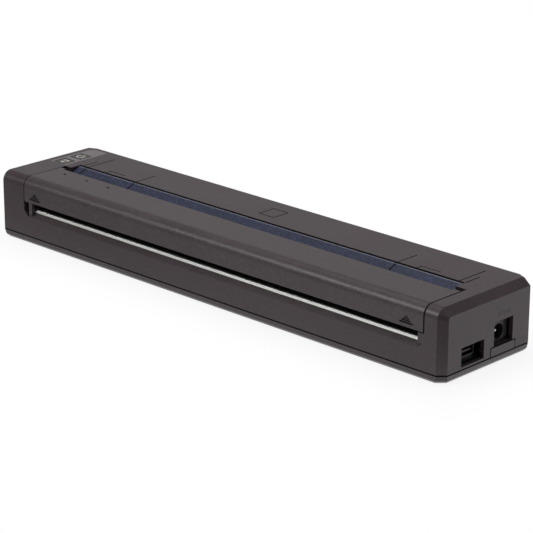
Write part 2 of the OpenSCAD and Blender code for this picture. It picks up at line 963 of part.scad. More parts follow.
// Release cover: top, rounded front edge and front in one shell
module cover_shell() {
  front_y = -half_d;
  ramp_end = [cover_x0 + corner_left_w, cover_x1 - corner_right_w];
  difference() {
    along_x(cover_x0, cover_x1)
      difference() {
        side_outline(
          front_y, cover_corner_y, cover_low_z, case_h, front_round, rear_edge_r
        );
        side_outline(
          front_y + cover_t, cover_corner_y + over + rear_edge_r, cover_low_z - over,
          case_h - cover_t, front_round - cover_t, rear_edge_r
        );
      }
    along_x(ramp_end[0], ramp_end[1])
      polygon([
        [cover_rear_y, case_h + over], [cover_rear_y, case_h - rear_edge_t],
        [cover_rear_y - cover_t, case_h - cover_t - skin],
        [cover_rear_y - cover_t, case_h - cover_t - over],
        [cover_corner_y + over, case_h - cover_t - over],
        [cover_corner_y + over, case_h + over]
      ]);
  }
}

// Rib across the corner between the cover's top and front
module cover_rib(x, reach, drop) {
  front_y = -half_d + cover_t - skin;
  top_z = case_h - cover_t + skin;
  along_x(x, x + cover_rib_t)
    polygon([[front_y, top_z], [front_y + reach, top_z], [front_y, top_z - drop]]);
}

module cover_ribs() {
  first_x = cover_x0 + cover_rib_pitch / 2;
  for (x = [first_x:cover_rib_pitch:cover_x1 - cover_rib_pitch / 3])
    cover_rib(x, cover_rib_reach, cover_rib_drop);
  for (x = [cover_x0, cover_x1 - cover_rib_t])
    cover_rib(x, cover_end_reach, cover_end_drop);
}

// Tab under the left end of the cover's front, over the slope of the ledge
module finger_tab() {
  y0 = -half_d + play;
  y1 = -half_d + cover_t;
  along_x(finger_tab_x, finger_tab_x + finger_tab_w)
    polygon([
      [y0, ledge_height(y0) + finger_tab_gap], [y1, ledge_height(y1) + finger_tab_gap],
      [y1, cover_low_z + over], [y0, cover_low_z + over]
    ]);
}

// One hinge ear under the cover's rear corner
module cover_ear(x0, x1) {
  difference() {
    union() {
      rod_x(x0, x1, hinge_y, hinge_z, ear_r);
      box([x0, x1], [hinge_y - ear_r, hinge_y + rear_edge_r], [hinge_z, case_h - cover_t + skin]);
    }
    rod_x(x0 - over, x1 + over, hinge_y, hinge_z, hinge_pin_r + running_play);
  }
}

// Ribbed triangle cut in the front of the cover
module open_mark(x) {
  difference() {
    along_y(-half_d - over, -half_d + mark_depth)
      polygon([
        [x - triangle_w / 2, triangle_z], [x + triangle_w / 2, triangle_z],
        [x, triangle_z + triangle_h]
      ]);
    for (k = [1:triangle_rows - 1])
      box(
        [x - triangle_w, x + triangle_w],
        [-half_d, -half_d + mark_depth],
        [
          triangle_z + k * triangle_h / triangle_rows - triangle_rib / 2,
          triangle_z + k * triangle_h / triangle_rows + triangle_rib / 2
        ]
      );
  }
}

module release_cover() {
  color([0.35, 0.33, 0.34])
    difference() {
      union() {
        cover_shell();
        cover_ribs();
        cover_ear(cover_x0, cover_x0 + ear_t);
        cover_ear(cover_x1 - ear_t, cover_x1);
        finger_tab();
      }
      for (k = [0:2])
        rod_z(
          light_first_x + k * light_pitch, light_y, inner_top - over, case_h + over,
          light_r + light_play
        );
      open_mark(triangle_left_x);
      open_mark(triangle_right_x);
    }
}

// Profile of the ramp: from its front nose down the guide behind the platen and back up,
// under the slope to the flange below the housing's top, and over the rounded rear rim
module ramp_outline() {
  outer_r = guide_r + guide_t;
  outer_y = platen_y + outer_r * cos(guide_high_angle);
  wall_y = ramp_rear_y - ramp_t;
  flange_y = ramp_rear_y + ramp_flange;
  nose_angle = acos((ramp_front_y - platen_y) / guide_r);
  polygon(concat(
    [[ramp_front_y, ramp_front_z]],
    arc_points(platen_y, platen_z, guide_r, nose_angle, guide_low_angle),
    arc_points(platen_y, platen_z, outer_r, guide_low_angle, guide_high_angle),
    [
      [outer_y, ramp_height(outer_y) - ramp_t], [wall_y, ramp_height(wall_y) - ramp_t],
      [wall_y, inner_top - ramp_flange_t], [flange_y, inner_top - ramp_flange_t],
      [flange_y, inner_top], [ramp_rear_y, inner_top]
    ],
    arc_points(ramp_rim_y, ramp_rear_z - ramp_rim_r, ramp_rim_r, 0, 90)
  ));
}

// Groove down the ramp at x
module ramp_mark(x) {
  y0 = ramp_front_y - over;
  y1 = ramp_rear_y + over;
  along_x(x - mark_w / 2, x + mark_w / 2)
    polygon([
      [y0, ramp_height(y0) - mark_depth], [y1, ramp_height(y1) - mark_depth],
      [y1, ramp_height(y1) + over], [y0, ramp_height(y0) + over]
    ]);
}

// Blue ramp that leads the paper in under the cover and down round the platen
module inlet_ramp() {
  slot_x = [sensor_x - lever_slot_w / 2, sensor_x + lever_slot_w / 2];
  color([0.24, 0.26, 0.36])
    difference() {
      along_x(ramp_x0, ramp_x1)
        ramp_outline();
      ramp_mark(paper_centre_x - a4_half_w - mark_clearance);
      ramp_mark(paper_centre_x - a5_half_w - mark_clearance);
      ramp_mark(paper_centre_x + a5_half_w + mark_clearance);
      box(slot_x, [platen_y, ramp_front_y + lever_slot_l], [platen_z, case_h]);
    }
}

// Guide between the print head and the tear bar, with groups of ribs and single ones between
module exit_guide() {
  y = [tear_bar_y + tear_bar_w, tear_bar_y + tear_bar_w + exit_guide_w];
  top_z = nip_z - exit_rib_h;
  color([0.2, 0.18, 0.2]) {
    box([slot_left_x, slot_right_x], y, [ledge_top_z, top_z]);
    for (group = [-3:3]) {
      middle_x = paper_centre_x - exit_group_shift + group * exit_group_pitch;
      for (x = [for (rib = [-2:2]) middle_x + rib * exit_rib_pitch])
        if (x > slot_left_x && x + exit_rib_t < slot_right_x)
          box([x, x + exit_rib_t], y, [top_z - skin, top_z + exit_rib_h]);
      between_x = middle_x + exit_group_pitch / 2;
      if (between_x + exit_rib_t < slot_right_x)
        box([between_x, between_x + exit_rib_t], y, [top_z - skin, top_z + exit_rib_h]);
    }
  }
}

// Steel strip on the ledge, against which the paper is torn
module tear_bar() {
  color([0.82, 0.83, 0.82])
    along_x(tear_bar_x0, slot_right_x - play / 2)
      polygon([
        [tear_bar_y, ledge_top_z], [tear_bar_y + tear_bar_w, ledge_top_z],
        [tear_bar_y + tear_bar_w, ledge_top_z + tear_bar_t],
        [tear_bar_y + tear_bar_edge, ledge_top_z + tear_bar_t],
        [tear_bar_y, ledge_top_z + tear_bar_t - tear_bar_edge]
      ]);
}

module battery_door() {
  grip_x = (door_x0 + door_x1) / 2;
  color([0.27, 0.25, 0.26])
    difference() {
      union() {
        box([door_x0, door_x1], [half_d - door_t, half_d], [door_pivot_z, door_top_z]);
        rod_x(door_x0, door_x1, door_pivot_y, door_pivot_z, door_r);
        rod_x(
          door_x0 - door_pin_l, door_x1 + door_pin_l, door_pivot_y, door_pivot_z, door_pin_r
        );
      }
      box(
        [grip_x - door_grip_w / 2, grip_x + door_grip_w / 2],
        [half_d - door_grip_t, half_d + over],
        [door_top_z - door_grip_h, door_top_z + over]
      );
    }
}

module keypad_panel() {
  color([0.43, 0.41, 0.42])
    translate([0, 0, case_h - panel_t])
      linear_extrude(panel_t)
        difference() {
          panel_outline(0);
          for (y = [feed_key_y, power_key_y])
            translate([key_x - key_w / 2 - key_gap, y - key_w / 2 - key_gap])
              square([key_w + 2 * key_gap, key_w + 2 * key_gap]);
        }
}

// Square key with a rim that the panel holds down
module square_key(y) {
  rim_w = key_w + 2 * key_rim;
  rim_top = case_h - panel_t - key_rim_gap;
  box(
    [key_x - key_w / 2, key_x + key_w / 2], [y - key_w / 2, y + key_w / 2],
    [key_low_z, case_h]
  );
  box(
    [key_x - rim_w / 2, key_x + rim_w / 2], [y - rim_w / 2, y + rim_w / 2],
    [rim_top - key_rim_t, rim_top]
  );
}

module power_button() {
  color([0.4, 0.38, 0.39])
    square_key(power_key_y);
}

module feed_button() {
  color([0.4, 0.38, 0.39])
    square_key(feed_key_y);
}

// Small board under the keys
module key_board() {
  color([0.1, 0.35, 0.2])
    box(
      [key_x - key_board_w / 2, key_x + key_board_w / 2], [panel_y0, key_board_y1],
      [key_board_z, key_board_z + key_board_t]
    );
}

module key_switches() {
  low = key_board_top_z;
  color([0.7, 0.7, 0.72])
    for (y = [feed_key_y, power_key_y]) {
      box(
        [key_x - switch_w / 2, key_x + switch_w / 2], [y - switch_w / 2, y + switch_w / 2],
        [low, low + switch_h]
      );
      rod_z(key_x, y, low + switch_h - skin, low + switch_h + switch_stem_h, switch_stem_r);
    }
}

// Clear lens in one of the cover's light holes
module light_lens(index) {
  x = light_first_x + index * light_pitch;
  top = case_h - cover_t;
  rod_z(x, light_y, top - light_flange_t, case_h - light_sink, light_r);
  rod_z(x, light_y, top - light_flange_t, top, light_flange_r);
}

module power_light_lens() {
  color([0.8, 0.85, 0.8])
    light_lens(0);
}

module data_light_lens() {
  color([0.8, 0.85, 0.8])
    light_lens(1);
}

module status_light_lens() {
  color([0.8, 0.85, 0.8])
    light_lens(2);
}

// Strip board on the underside of the cover, with a light under each lens
module led_board() {
  high = case_h - cover_t - light_flange_t;
  x0 = light_first_x - led_board_margin;
  x1 = light_first_x + 2 * light_pitch + led_board_margin;
  y0 = light_y - led_board_margin / 2;
  y1 = light_y + led_board_margin / 2;
  color([0.1, 0.35, 0.2]) {
    box([x0, x1], [y0, y1], [high - led_chip_t - led_board_t, high - led_chip_t]);
    for (k = [0:2])
      box(
        [
          light_first_x + k * light_pitch - led_chip_w / 2,
          light_first_x + k * light_pitch + led_chip_w / 2
        ],
        [light_y - led_chip_w / 2, light_y + led_chip_w / 2],
        [high - led_chip_t - skin, high]
      );
    for (k = [0:1])
      box(
        [
          light_first_x + (k + 0.5) * light_pitch - led_chip_w / 2,
          light_first_x + (k + 0.5) * light_pitch + led_chip_w / 2
        ],
        [light_y - led_chip_w / 2, light_y + led_chip_w / 2],
        [high - led_chip_t - skin, case_h - cover_t]
      );
  }
}

// Steel side plate with a foot, and holes for the platen, hinge and head
module side_plate(x0, x1, rear_y) {
  difference() {
    union() {
      box([x0, x1], [plate_front_y, rear_y], [floor_t, plate_top_z]);
      box([x0 - plate_foot, x0 + skin], [stay_y0, platen_y], [floor_t, floor_t + plate_t]);
    }
    rod_x(x0 - over, x1 + over, platen_y, platen_z, bush_r);
    rod_x(x0 - over, x1 + over, hinge_y, hinge_z, hinge_pin_r);
    rod_x(x0 - over, x1 + over, trunnion_y, trunnion_z, trunnion_r + running_play);
    rod_z(x0 - plate_foot / 2, plate_screw_y, 0, case_h / 3, plate_screw_r);
    children();
  }
}

module left_side_plate() {
  x0 = left_plate_x0 - over;
  x1 = left_plate_x1 + over;
  color([0.62, 0.63, 0.65])
    side_plate(left_plate_x0, left_plate_x1, left_plate_rear_y) {
      rod_x(x0, x1, idler_y, idler_z, axle_r);
      rod_x(x0, x1, reduction_y, reduction_z, axle_r);
      rod_x(x0, x1, motor_y, motor_z, motor_boss_r);
      for (s = [-1, 1])
        rod_x(x0, x1, motor_y + s * motor_ear_half_w, motor_ear_z, motor_screw_r);
    }
}

module right_side_plate() {
  color([0.62, 0.63, 0.65])
    side_plate(right_plate_x0, right_plate_x1, right_plate_rear_y)
      box(
        [right_plate_x0 - over, right_plate_x1 + over], [usb_notch_y0, usb_notch_y1],
        [0, usb_notch_z]
      );
}

// Channel between the side plates, on which the head springs stand
module head_stay() {
  x = [left_plate_x1, right_plate_x0];
  color([0.62, 0.63, 0.65])
    difference() {
      union() {
        box(x, [stay_y0, stay_y1], [stay_z - stay_t, stay_z]);
        box(x, [stay_y0, stay_y0 + stay_t], [stay_z - skin, stay_z + stay_lip]);
      }
      box(
        [half_l - usb_sink - usb_l - usb_side_gap / 2, x[1] + over],
        [usb_notch_y0, stay_y1 + over], [stay_z - stay_t - over, stay_z + over]
      );
    }
}

module cover_hinge_pins() {
  color([0.75, 0.75, 0.77]) {
    rod_x(left_plate_x0, left_plate_x1 + hinge_pin_reach, hinge_y, hinge_z, hinge_pin_r);
    rod_x(right_plate_x0 - hinge_pin_reach, right_plate_x1, hinge_y, hinge_z, hinge_pin_r);
  }
}

// Aluminium plate under the print head, on two trunnions
module head_heatsink() {
  color([0.75, 0.76, 0.78]) {
    box(
      [head_x0, head_x1],
      [platen_y - head_front, platen_y + heatsink_rear],
      [heatsink_low_z, heatsink_top_z]
    );
    rod_x(left_plate_x0, head_x0 + over, trunnion_y, trunnion_z, trunnion_r);
    rod_x(head_x1 - over, right_plate_x1, trunnion_y, trunnion_z, trunnion_r);
  }
}

// Ceramic print head with its raised heating line, and its driver cover behind
module print_head() {
  driver_y = platen_y + head_rear;
  color([0.85, 0.84, 0.78]) {
    box(
      [head_x0, head_x1], [platen_y - head_front, driver_y],
      [heatsink_top_z, nip_z - head_line_h]
    );
    box(
      [head_x0 + head_margin, head_x1 - head_margin],
      [platen_y - head_line_w / 2, platen_y + head_line_w / 2],
      [nip_z - head_line_h - skin, nip_z]
    );
    box(
      [head_x0, head_x1], [driver_y - skin, driver_y + driver_cover_w],
      [heatsink_top_z, heatsink_top_z + driver_cover_h]
    );
  }
}

module head_springs() {
  pitch = (head_x1 - head_x0) / spring_count;
  color([0.7, 0.7, 0.72])
    for (x = [head_x0 + pitch / 2:pitch:head_x1])
      difference() {
        rod_z(x, spring_y, stay_z, heatsink_low_z, spring_r);
        rod_z(x, spring_y, stay_z - over, heatsink_low_z + over, spring_r - spring_wire);
      }
}

// Flat cable from the print head down to the main board
module head_flex_cable() {
  x = [cable_x - cable_w / 2, cable_x + cable_w / 2];
  y = platen_y + heatsink_rear + play;
  color([0.75, 0.6, 0.35]) {
    box(x, [y, y + cable_t], [board_top_z, heatsink_top_z]);
    box(x, [y, y + cable_foot], [board_top_z, board_top_z + cable_t]);
  }
}

module platen_shaft() {
  color([0.75, 0.75, 0.77])
    rod_x(gear_x0, right_plate_x1 + bush_in, platen_y, platen_z, platen_shaft_r);
}

module platen_rubber() {
  color([0.12, 0.12, 0.12])
    difference() {
      rod_x(platen_x0, platen_x1, platen_y, platen_z, platen_r);
      rod_x(platen_x0 - over, platen_x1 + over, platen_y, platen_z, platen_shaft_r);
    }
}

// Gear at its place along X, turned to its phase
module gear_x(x0, x1, y, z, teeth, phase, bore) {
  along_x(x0, x1)
    translate([y, z])
      rotate(phase)
        difference() {
          polygon(gear_points(teeth));
          circle(bore);
        }
}

module platen_gear() {
  color([0.85, 0.84, 0.8])
    gear_x(gear_x0, gear_x1, platen_y, platen_z, platen_teeth, platen_phase, platen_shaft_r);
}

// Flanged bushes that carry the platen shaft in the side plates
module platen_bushes() {
  color([0.9, 0.9, 0.86]) {
    flanged_bush(left_plate_x0, left_plate_x1, -1);
    flanged_bush(right_plate_x0, right_plate_x1, 1);
  }
}

module flanged_bush(x0, x1, out) {
  flange = out < 0 ? [x0 - bush_flange_t, x0] : [x1, x1 + bush_flange_t];
  difference() {
    union() {
      rod_x(x0, x1, platen_y, platen_z, bush_r);
      rod_x(flange[0], flange[1], platen_y, platen_z, bush_flange_r);
    }
    rod_x(
      flange[0] - 2 * over, flange[1] + 2 * over, platen_y, platen_z,
      platen_shaft_r + running_play
    );
  }
}

module idler_gear() {
  color([0.9, 0.89, 0.84])
    gear_x(
      gear_x0, gear_x1, idler_y, idler_z, idler_teeth, idler_phase, axle_r + running_play
    );
}

// Fixed axle with a shoulder against the plate
module gear_axle(x0, y, z) {
  rod_x(x0, left_plate_x1, y, z, axle_r);
  rod_x(gear_x1 + play / 2, left_plate_x0, y, z, axle_shoulder_r);
}

module idler_axle() {
  color([0.75, 0.75, 0.77])
    gear_axle(gear_x0 - play - ring_t - play, idler_y, idler_z);
}

module reduction_gear() {
  color([0.9, 0.89, 0.84]) {
    gear_x(
      gear_x0 - gear_side_gap, gear_x1, reduction_y, reduction_z,
      reduction_small_teeth, small_phase, axle_r + running_play
    );
    gear_x(
      large_x0, large_x1, reduction_y, reduction_z,
      reduction_large_teeth, large_phase, axle_r + running_play
    );
  }
}

module reduction_axle() {
  color([0.75, 0.75, 0.77])
    gear_axle(large_x0 - play - ring_t - play, reduction_y, reduction_z);
}

// Snap rings on the ends of the two axles
module gear_retaining_rings() {
  color([0.3, 0.3, 0.32]) {
    retaining_ring(gear_x0 - play, idler_y, idler_z);
    retaining_ring(large_x0 - play, reduction_y, reduction_z);
  }
}

module retaining_ring(x1, y, z) {
  difference() {
    rod_x(x1 - ring_t, x1, y, z, ring_r);
    rod_x(x1 - ring_t - over, x1 + over, y, z, axle_r);
  }
}

// Stepping motor can, with its boss and flange against the side plate
module motor() {
  color([0.6, 0.61, 0.63])
    difference() {
      union() {
        rod_x(left_plate_x1 + motor_ear_t, left_plate_x1 + motor_l, motor_y, motor_z, motor_r);
        rod_x(
          left_plate_x1 - motor_boss_t, left_plate_x1 + motor_ear_t,
          motor_y, motor_z, motor_boss_r
        );
        motor_flange();
      }
      rod_x(
        left_plate_x1 - plate_t - over, left_plate_x1 + motor_l - over,
        motor_y, motor_z, motor_shaft_r + running_play
      );
    }
}

// Flange of the motor: a disc with two ears
module motor_flange() {
  x0 = left_plate_x1;
  x1 = left_plate_x1 + motor_ear_t;
  difference() {
    union() {
      rod_x(x0, x1, motor_y, motor_z, motor_r);
      for (s = [-1, 1]) {
        ear_y = motor_y + s * motor_ear_half_w;
        rod_x(x0, x1, ear_y, motor_ear_z, motor_ear_r);
        box([x0, x1], [ear_y - motor_ear_r, ear_y + motor_ear_r], [motor_z, motor_ear_z]);
      }
    }
    for (s = [-1, 1])
      rod_x(
        x0 - over, x1 + over, motor_y + s * motor_ear_half_w, motor_ear_z, motor_screw_r
      );
  }
}

module motor_shaft() {
  color([0.75, 0.75, 0.77])
    rod_x(
      large_x0, left_plate_x1 + motor_l - motor_shaft_sink, motor_y, motor_z, motor_shaft_r
    );
}

module motor_pinion() {
  color([0.78, 0.66, 0.35])
    gear_x(
      large_x0, large_x1, motor_y, motor_z, pinion_teeth, pinion_phase, motor_shaft_r
    );
}

module main_board() {
  arm_x0 = board_x1 - board_arm_l;
  front_x1 = right_plate_x0 - play;
  side_y0 = usb_notch_y0 + play;
  color([0.08, 0.32, 0.18])
    difference() {
      translate([0, 0, board_z])
        linear_extrude(board_t)
          polygon([
            [board_x0, board_y0], [front_x1, board_y0], [front_x1, side_y0],
            [board_x1, side_y0], [board_x1, board_arm_y], [arm_x0, board_arm_y],
            [arm_x0, board_rear_y], [board_x0, board_rear_y]
          ]);
      for (x = board_screw_x)
        rod_z(x, board_screw_y, board_z - over, board_top_z + over, board_screw_r + play / 2);
      box(
        [right_plate_x0 - play, right_plate_x1 + play],
        [usb_notch_y1 - play, right_plate_rear_y + play],
        [board_z - over, board_top_z + over]
      );
    }
}

// Chips on the main board, as shares of its half length and its depth
module board_components() {
  half_board = (board_x1 - board_x0) / 2;
  board_d = board_rear_y - board_y0;
  chip_y = (stay_y1 + board_rear_y) / 2;
  color([0.12, 0.12, 0.13])
    for (c = chip_shares)
      box(
        [c[0] * half_board, (c[0] + 2 * c[1]) * half_board],
        [chip_y - c[2] * board_d / 2, chip_y + c[2] * board_d / 2],
        [board_top_z, board_top_z + c[3] * board_d]
      );
}

// Data socket: a steel shell round a tongue, open at the end face
module usb_socket() {
  x1 = half_l - usb_sink;
  x0 = x1 - usb_l;
  y0 = usb_mouth_y - usb_w / 2;
  y1 = usb_mouth_y + usb_w / 2;
  z0 = board_top_z + usb_base_h;
  z1 = z0 + usb_h;
  color([0.72, 0.73, 0.74]) {
    box(
      [x0, x1 - usb_shell_t], [y0 + usb_shell_t, y1 - usb_shell_t], [board_top_z, z0 + skin]
    );
    difference() {
      box([x0, x1], [y0, y1], [z0, z1]);
      box(
        [x0 + 2 * usb_shell_t, x1 + over],
        [y0 + usb_shell_t, y1 - usb_shell_t], [z0 + usb_shell_t, z1 - usb_shell_t]
      );
    }
    box(
      [x0 + usb_shell_t, x1 - usb_shell_t],
      [y0 + 3 * usb_shell_t, y1 - 3 * usb_shell_t],
      [(z0 + z1) / 2 - usb_tongue_t / 2, (z0 + z1) / 2 + usb_tongue_t / 2]
    );
  }
}

// Power socket: a block with a round bore, open at the end face
module dc_jack() {
  x1 = half_l - jack_sink;
  x0 = x1 - jack_l;
  color([0.16, 0.15, 0.16])
    difference() {
      box([x0, x1], [jack_y - jack_w / 2, jack_y + jack_w / 2], [board_top_z, jack_top_z]);
      rod_x(x1 - jack_depth, x1 + over, jack_y, jack_z, jack_bore_r);
      rod_x(x0 - over, x1, jack_y, jack_z, jack_pin_r);
    }
}

// Centre pin of the power socket, with a round nose
module dc_jack_pin() {
  x1 = half_l - jack_sink;
  x0 = x1 - jack_l;
  nose_x = x1 - jack_pin_sink - jack_pin_r;
  color([0.8, 0.8, 0.8]) {
    rod_x(x0, nose_x, jack_y, jack_z, jack_pin_r);
    translate([nose_x, jack_y, jack_z])
      sphere(jack_pin_r);
  }
}

// Battery pack: a long block with rounded edges and its contact recesses
module battery_pack() {
  y = [battery_y0, battery_y1];
  r = battery_corner_r;
  color([0.2, 0.21, 0.24])
    difference() {
      along_x(battery_x0, battery_x1)
        union() {
          translate([y[0] + r, battery_z0])
            square([battery_w - 2 * r, battery_h]);
          translate([y[0], battery_z0 + r])
            square([battery_w, battery_h - 2 * r]);
          for (sy = [y[0] + r, y[1] - r])
            for (sz = [battery_z0 + r, battery_z1 - r])
              translate([sy, sz])
                circle(r);
        }
      for (k = [0:contact_count - 1])
        box(
          [battery_x0 - over, battery_x0 + battery_recess],
          [contact_y(k) - contact_w, contact_y(k) + contact_w],
          [contact_z - 2 * contact_w, contact_z + 2 * contact_w]
        );
    }
}

// Place of each battery contact
function contact_y(k) =
  (battery_y0 + battery_y1) / 2 + (k - (contact_count - 1) / 2) * contact_pitch;

// Block between the motor and the battery that holds the contacts
module battery_connector() {
  x1 = battery_x0 - play;
  color([0.14, 0.14, 0.15])
    difference() {
      box(
        [x1 - connector_l, x1],
        [battery_y0 + battery_corner_r / 2, battery_y1 - battery_corner_r / 2],
        [floor_t, battery_z1 - battery_corner_r]
      );
      for (k = [0:contact_count - 1])
        box(
          [x1 - connector_l - over, x1 + over],
          [contact_y(k) - contact_w / 2, contact_y(k) + contact_w / 2],
          [contact_z - contact_t, contact_z + contact_t]
        );
    }
}

module battery_contacts() {
  x1 = battery_x0 - play;
  color([0.83, 0.68, 0.3])
    for (k = [0:contact_count - 1])
      box(
        [x1 - connector_l, battery_x0 + play],
        [contact_y(k) - contact_w / 2, contact_y(k) + contact_w / 2],
        [contact_z - contact_t, contact_z + contact_t]
      );
}

// Forked light barrier that the paper lever swings through, on its bracket
module paper_sensor() {
  y0 = sensor_y + lever_r + play;
  z0 = sensor_z - sensor_base_drop;
  bracket_w = sensor_w + 2 * play;
  color([0.1, 0.1, 0.11]) {
    for (s = [-1, 1])
      box(
        [
          sensor_x + (s < 0 ? -sensor_w / 2 : sensor_w / 2 - sensor_leg_t),
          sensor_x + (s < 0 ? -sensor_w / 2 + sensor_leg_t : sensor_w / 2)
        ],
        [sensor_y - lever_r, y0 + sensor_base_t], [board_top_z, sensor_z + lever_r]
      );
    box(
      [sensor_x - bracket_w / 2, sensor_x + bracket_w / 2],
      [y0, y0 + sensor_base_t], [board_top_z, z0]
    );
  }
}

// Lever whose tip stands in the paper path through a slot in the ramp
module paper_sensor_lever() {
  tip_z = ramp_height(lever_tip_y) + lever_tip_lift;
  x = [sensor_x - lever_t / 2, sensor_x + lever_t / 2];
  color([0.85, 0.85, 0.82])
    difference() {
      union() {
        rod_x(x[0], x[1], sensor_y, sensor_z, lever_r);
        along_x(x[0], x[1])
          polygon([
            [sensor_y - lever_arm / 2, sensor_z], [lever_tip_y - lever_arm / 2, tip_z],
            [lever_tip_y + lever_arm / 2, tip_z], [sensor_y + lever_arm, sensor_z]
          ]);
        box(
          x, [sensor_y - lever_arm / 2, sensor_y + lever_arm / 2],
          [sensor_z - lever_tail_l, sensor_z]
        );
      }
      rod_x(x[0] - over, x[1] + over, sensor_y, sensor_z, lever_pin_r + running_play);
    }
}

module sensor_lever_pin() {
  reach = sensor_w / 2 - sensor_leg_t;
  color([0.75, 0.75, 0.77])
    rod_x(sensor_x - reach, sensor_x + reach, sensor_y, sensor_z, lever_pin_r);
}

// Cross-recessed screw, head down at the base
module case_screw(x, y) {
  slot_l = screw_head_r * 1.4;
  difference() {
    union() {
      rod_z(x, y, screw_well, screw_well + screw_head_t, screw_head_r);
      rod_z(x, y, screw_well, screw_well + screw_head_t + screw_l, screw_r);
    }
    for (turn = [0, 90])
      translate([x, y, 0])
        rotate(turn)
          box(
            [-slot_l / 2, slot_l / 2], [-screw_slot_w / 2, screw_slot_w / 2],
            [0, screw_well + screw_slot_d]
          );
  }
}

module case_screws() {
  color([0.2, 0.2, 0.21])
    for (x = case_screw_x)
      for (y = case_screw_y)
        case_screw(x, y);
}

// Screws through the feet of the side plates into the floor
module chassis_screws() {
  low = floor_t + plate_t;
  color([0.8, 0.8, 0.8])
    for (x = plate_screw_x) {
      rod_z(x, plate_screw_y, screw_well, low, plate_screw_r);
      rod_z(x, plate_screw_y, low, low + plate_screw_head_t, plate_screw_head_r);
    }
}

module board_screws() {
  low = board_z - 2 * board_screw_r;
  high = board_top_z + board_screw_head_t;
  color([0.8, 0.8, 0.8])
    for (x = board_screw_x) {
      rod_z(x, board_screw_y, low, high, board_screw_r);
      rod_z(x, board_screw_y, board_top_z, high, 2 * board_screw_r);
    }
}

module motor_screws() {
  x0 = left_plate_x0 - motor_screw_head_t;
  color([0.8, 0.8, 0.8])
    for (s = [-1, 1]) {
      ear_y = motor_y + s * motor_ear_half_w;
      rod_x(x0, left_plate_x0, ear_y, motor_ear_z, 2 * motor_screw_r);
      rod_x(x0, left_plate_x1 + motor_ear_t, ear_y, motor_ear_z, motor_screw_r);
    }
}

lower_housing();
upper_housing();
release_cover();
inlet_ramp();
exit_guide();
tear_bar();
battery_door();
keypad_panel();
power_button();
feed_button();
key_board();
key_switches();
led_board();
power_light_lens();
data_light_lens();
status_light_lens();
left_side_plate();
right_side_plate();
head_stay();
cover_hinge_pins();
head_heatsink();
print_head();
head_springs();
head_flex_cable();
platen_shaft();
platen_rubber();
platen_gear();
platen_bushes();
idler_gear();
idler_axle();
reduction_gear();
reduction_axle();
gear_retaining_rings();
motor();
motor_shaft();
motor_pinion();
main_board();
board_components();
usb_socket();
dc_jack();
dc_jack_pin();
battery_pack();
battery_connector();
battery_contacts();
paper_sensor();
paper_sensor_lever();
sensor_lever_pin();
case_screws();
chassis_screws();
board_screws();
motor_screws();
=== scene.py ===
"""Looks of an A4 portable thermal printer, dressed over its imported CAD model.

The case lies along X, its exit slot and tear bar face -Y, and +Z is up. Lengths are in metres,
or in millimetres where a name or a docstring says so.
"""
import logging
import math
from dataclasses import dataclass, field, replace
from enum import Enum
from typing import Callable, Optional, Sequence, Union

import bpy
import numpy as np
from mathutils import Matrix, Vector


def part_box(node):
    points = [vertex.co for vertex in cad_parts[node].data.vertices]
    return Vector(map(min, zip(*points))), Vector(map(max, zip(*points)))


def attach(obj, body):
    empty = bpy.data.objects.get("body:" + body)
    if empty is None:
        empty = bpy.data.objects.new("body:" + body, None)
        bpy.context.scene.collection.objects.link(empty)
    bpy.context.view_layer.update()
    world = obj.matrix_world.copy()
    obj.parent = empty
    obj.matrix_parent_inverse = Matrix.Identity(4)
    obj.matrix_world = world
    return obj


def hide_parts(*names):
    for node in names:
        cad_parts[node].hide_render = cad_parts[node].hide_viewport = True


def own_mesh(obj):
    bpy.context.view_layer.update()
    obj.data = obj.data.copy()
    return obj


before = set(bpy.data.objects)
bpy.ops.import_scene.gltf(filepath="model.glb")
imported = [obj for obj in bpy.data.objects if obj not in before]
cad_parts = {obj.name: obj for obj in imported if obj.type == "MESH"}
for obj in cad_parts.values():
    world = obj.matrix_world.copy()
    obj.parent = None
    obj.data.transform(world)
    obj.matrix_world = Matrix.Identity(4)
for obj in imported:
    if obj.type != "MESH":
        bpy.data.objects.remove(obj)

log = logging.getLogger("printer")
MM = 0.001
RIGHT, BACK, UP = np.eye(3)
Span = tuple[float, float]
Point = tuple[float, float, float]
Colour = tuple[float, float, float]
Shell = tuple[np.ndarray, list[np.ndarray]]
Socket = bpy.types.NodeSocket
Wires = dict[str, Socket]
Value = Union[Socket, float]
Node = bpy.types.Node
NodeTree = bpy.types.NodeTree
WHITE: Colour = (1.0, 1.0, 1.0)


class Axis(Enum):
    """An axis of the shared frame, by its index."""

    X = 0
    Y = 1
    Z = 2


def srgb(red: float, green: float, blue: float) -> Colour:
    """Turns a colour of 0 to 255, as a screen shows it, into linear light.

    Args:
        red: Red, 0 to 255.
        green: Green, 0 to 255.
        blue: Blue, 0 to 255.

    Returns:
        The three linear values, 0 to 1.
    """
    parts = np.array([red, green, blue]) / 255.0
    low = parts / 12.92
    high = ((parts + 0.055) / 1.055) ** 2.4
    return tuple(float(v) for v in np.where(parts <= 0.04045, low, high))


def scaled(colour: Colour, factor: float) -> Colour:
    """A colour whose light is so many times as strong."""
    return tuple(v * factor for v in colour)


DUST_TONE = srgb(150, 146, 142)
# Near-black painted shade for the gaps, grooves and engraved marks of the plastic.
GAP_SHADE_TONE = srgb(6, 4, 5)


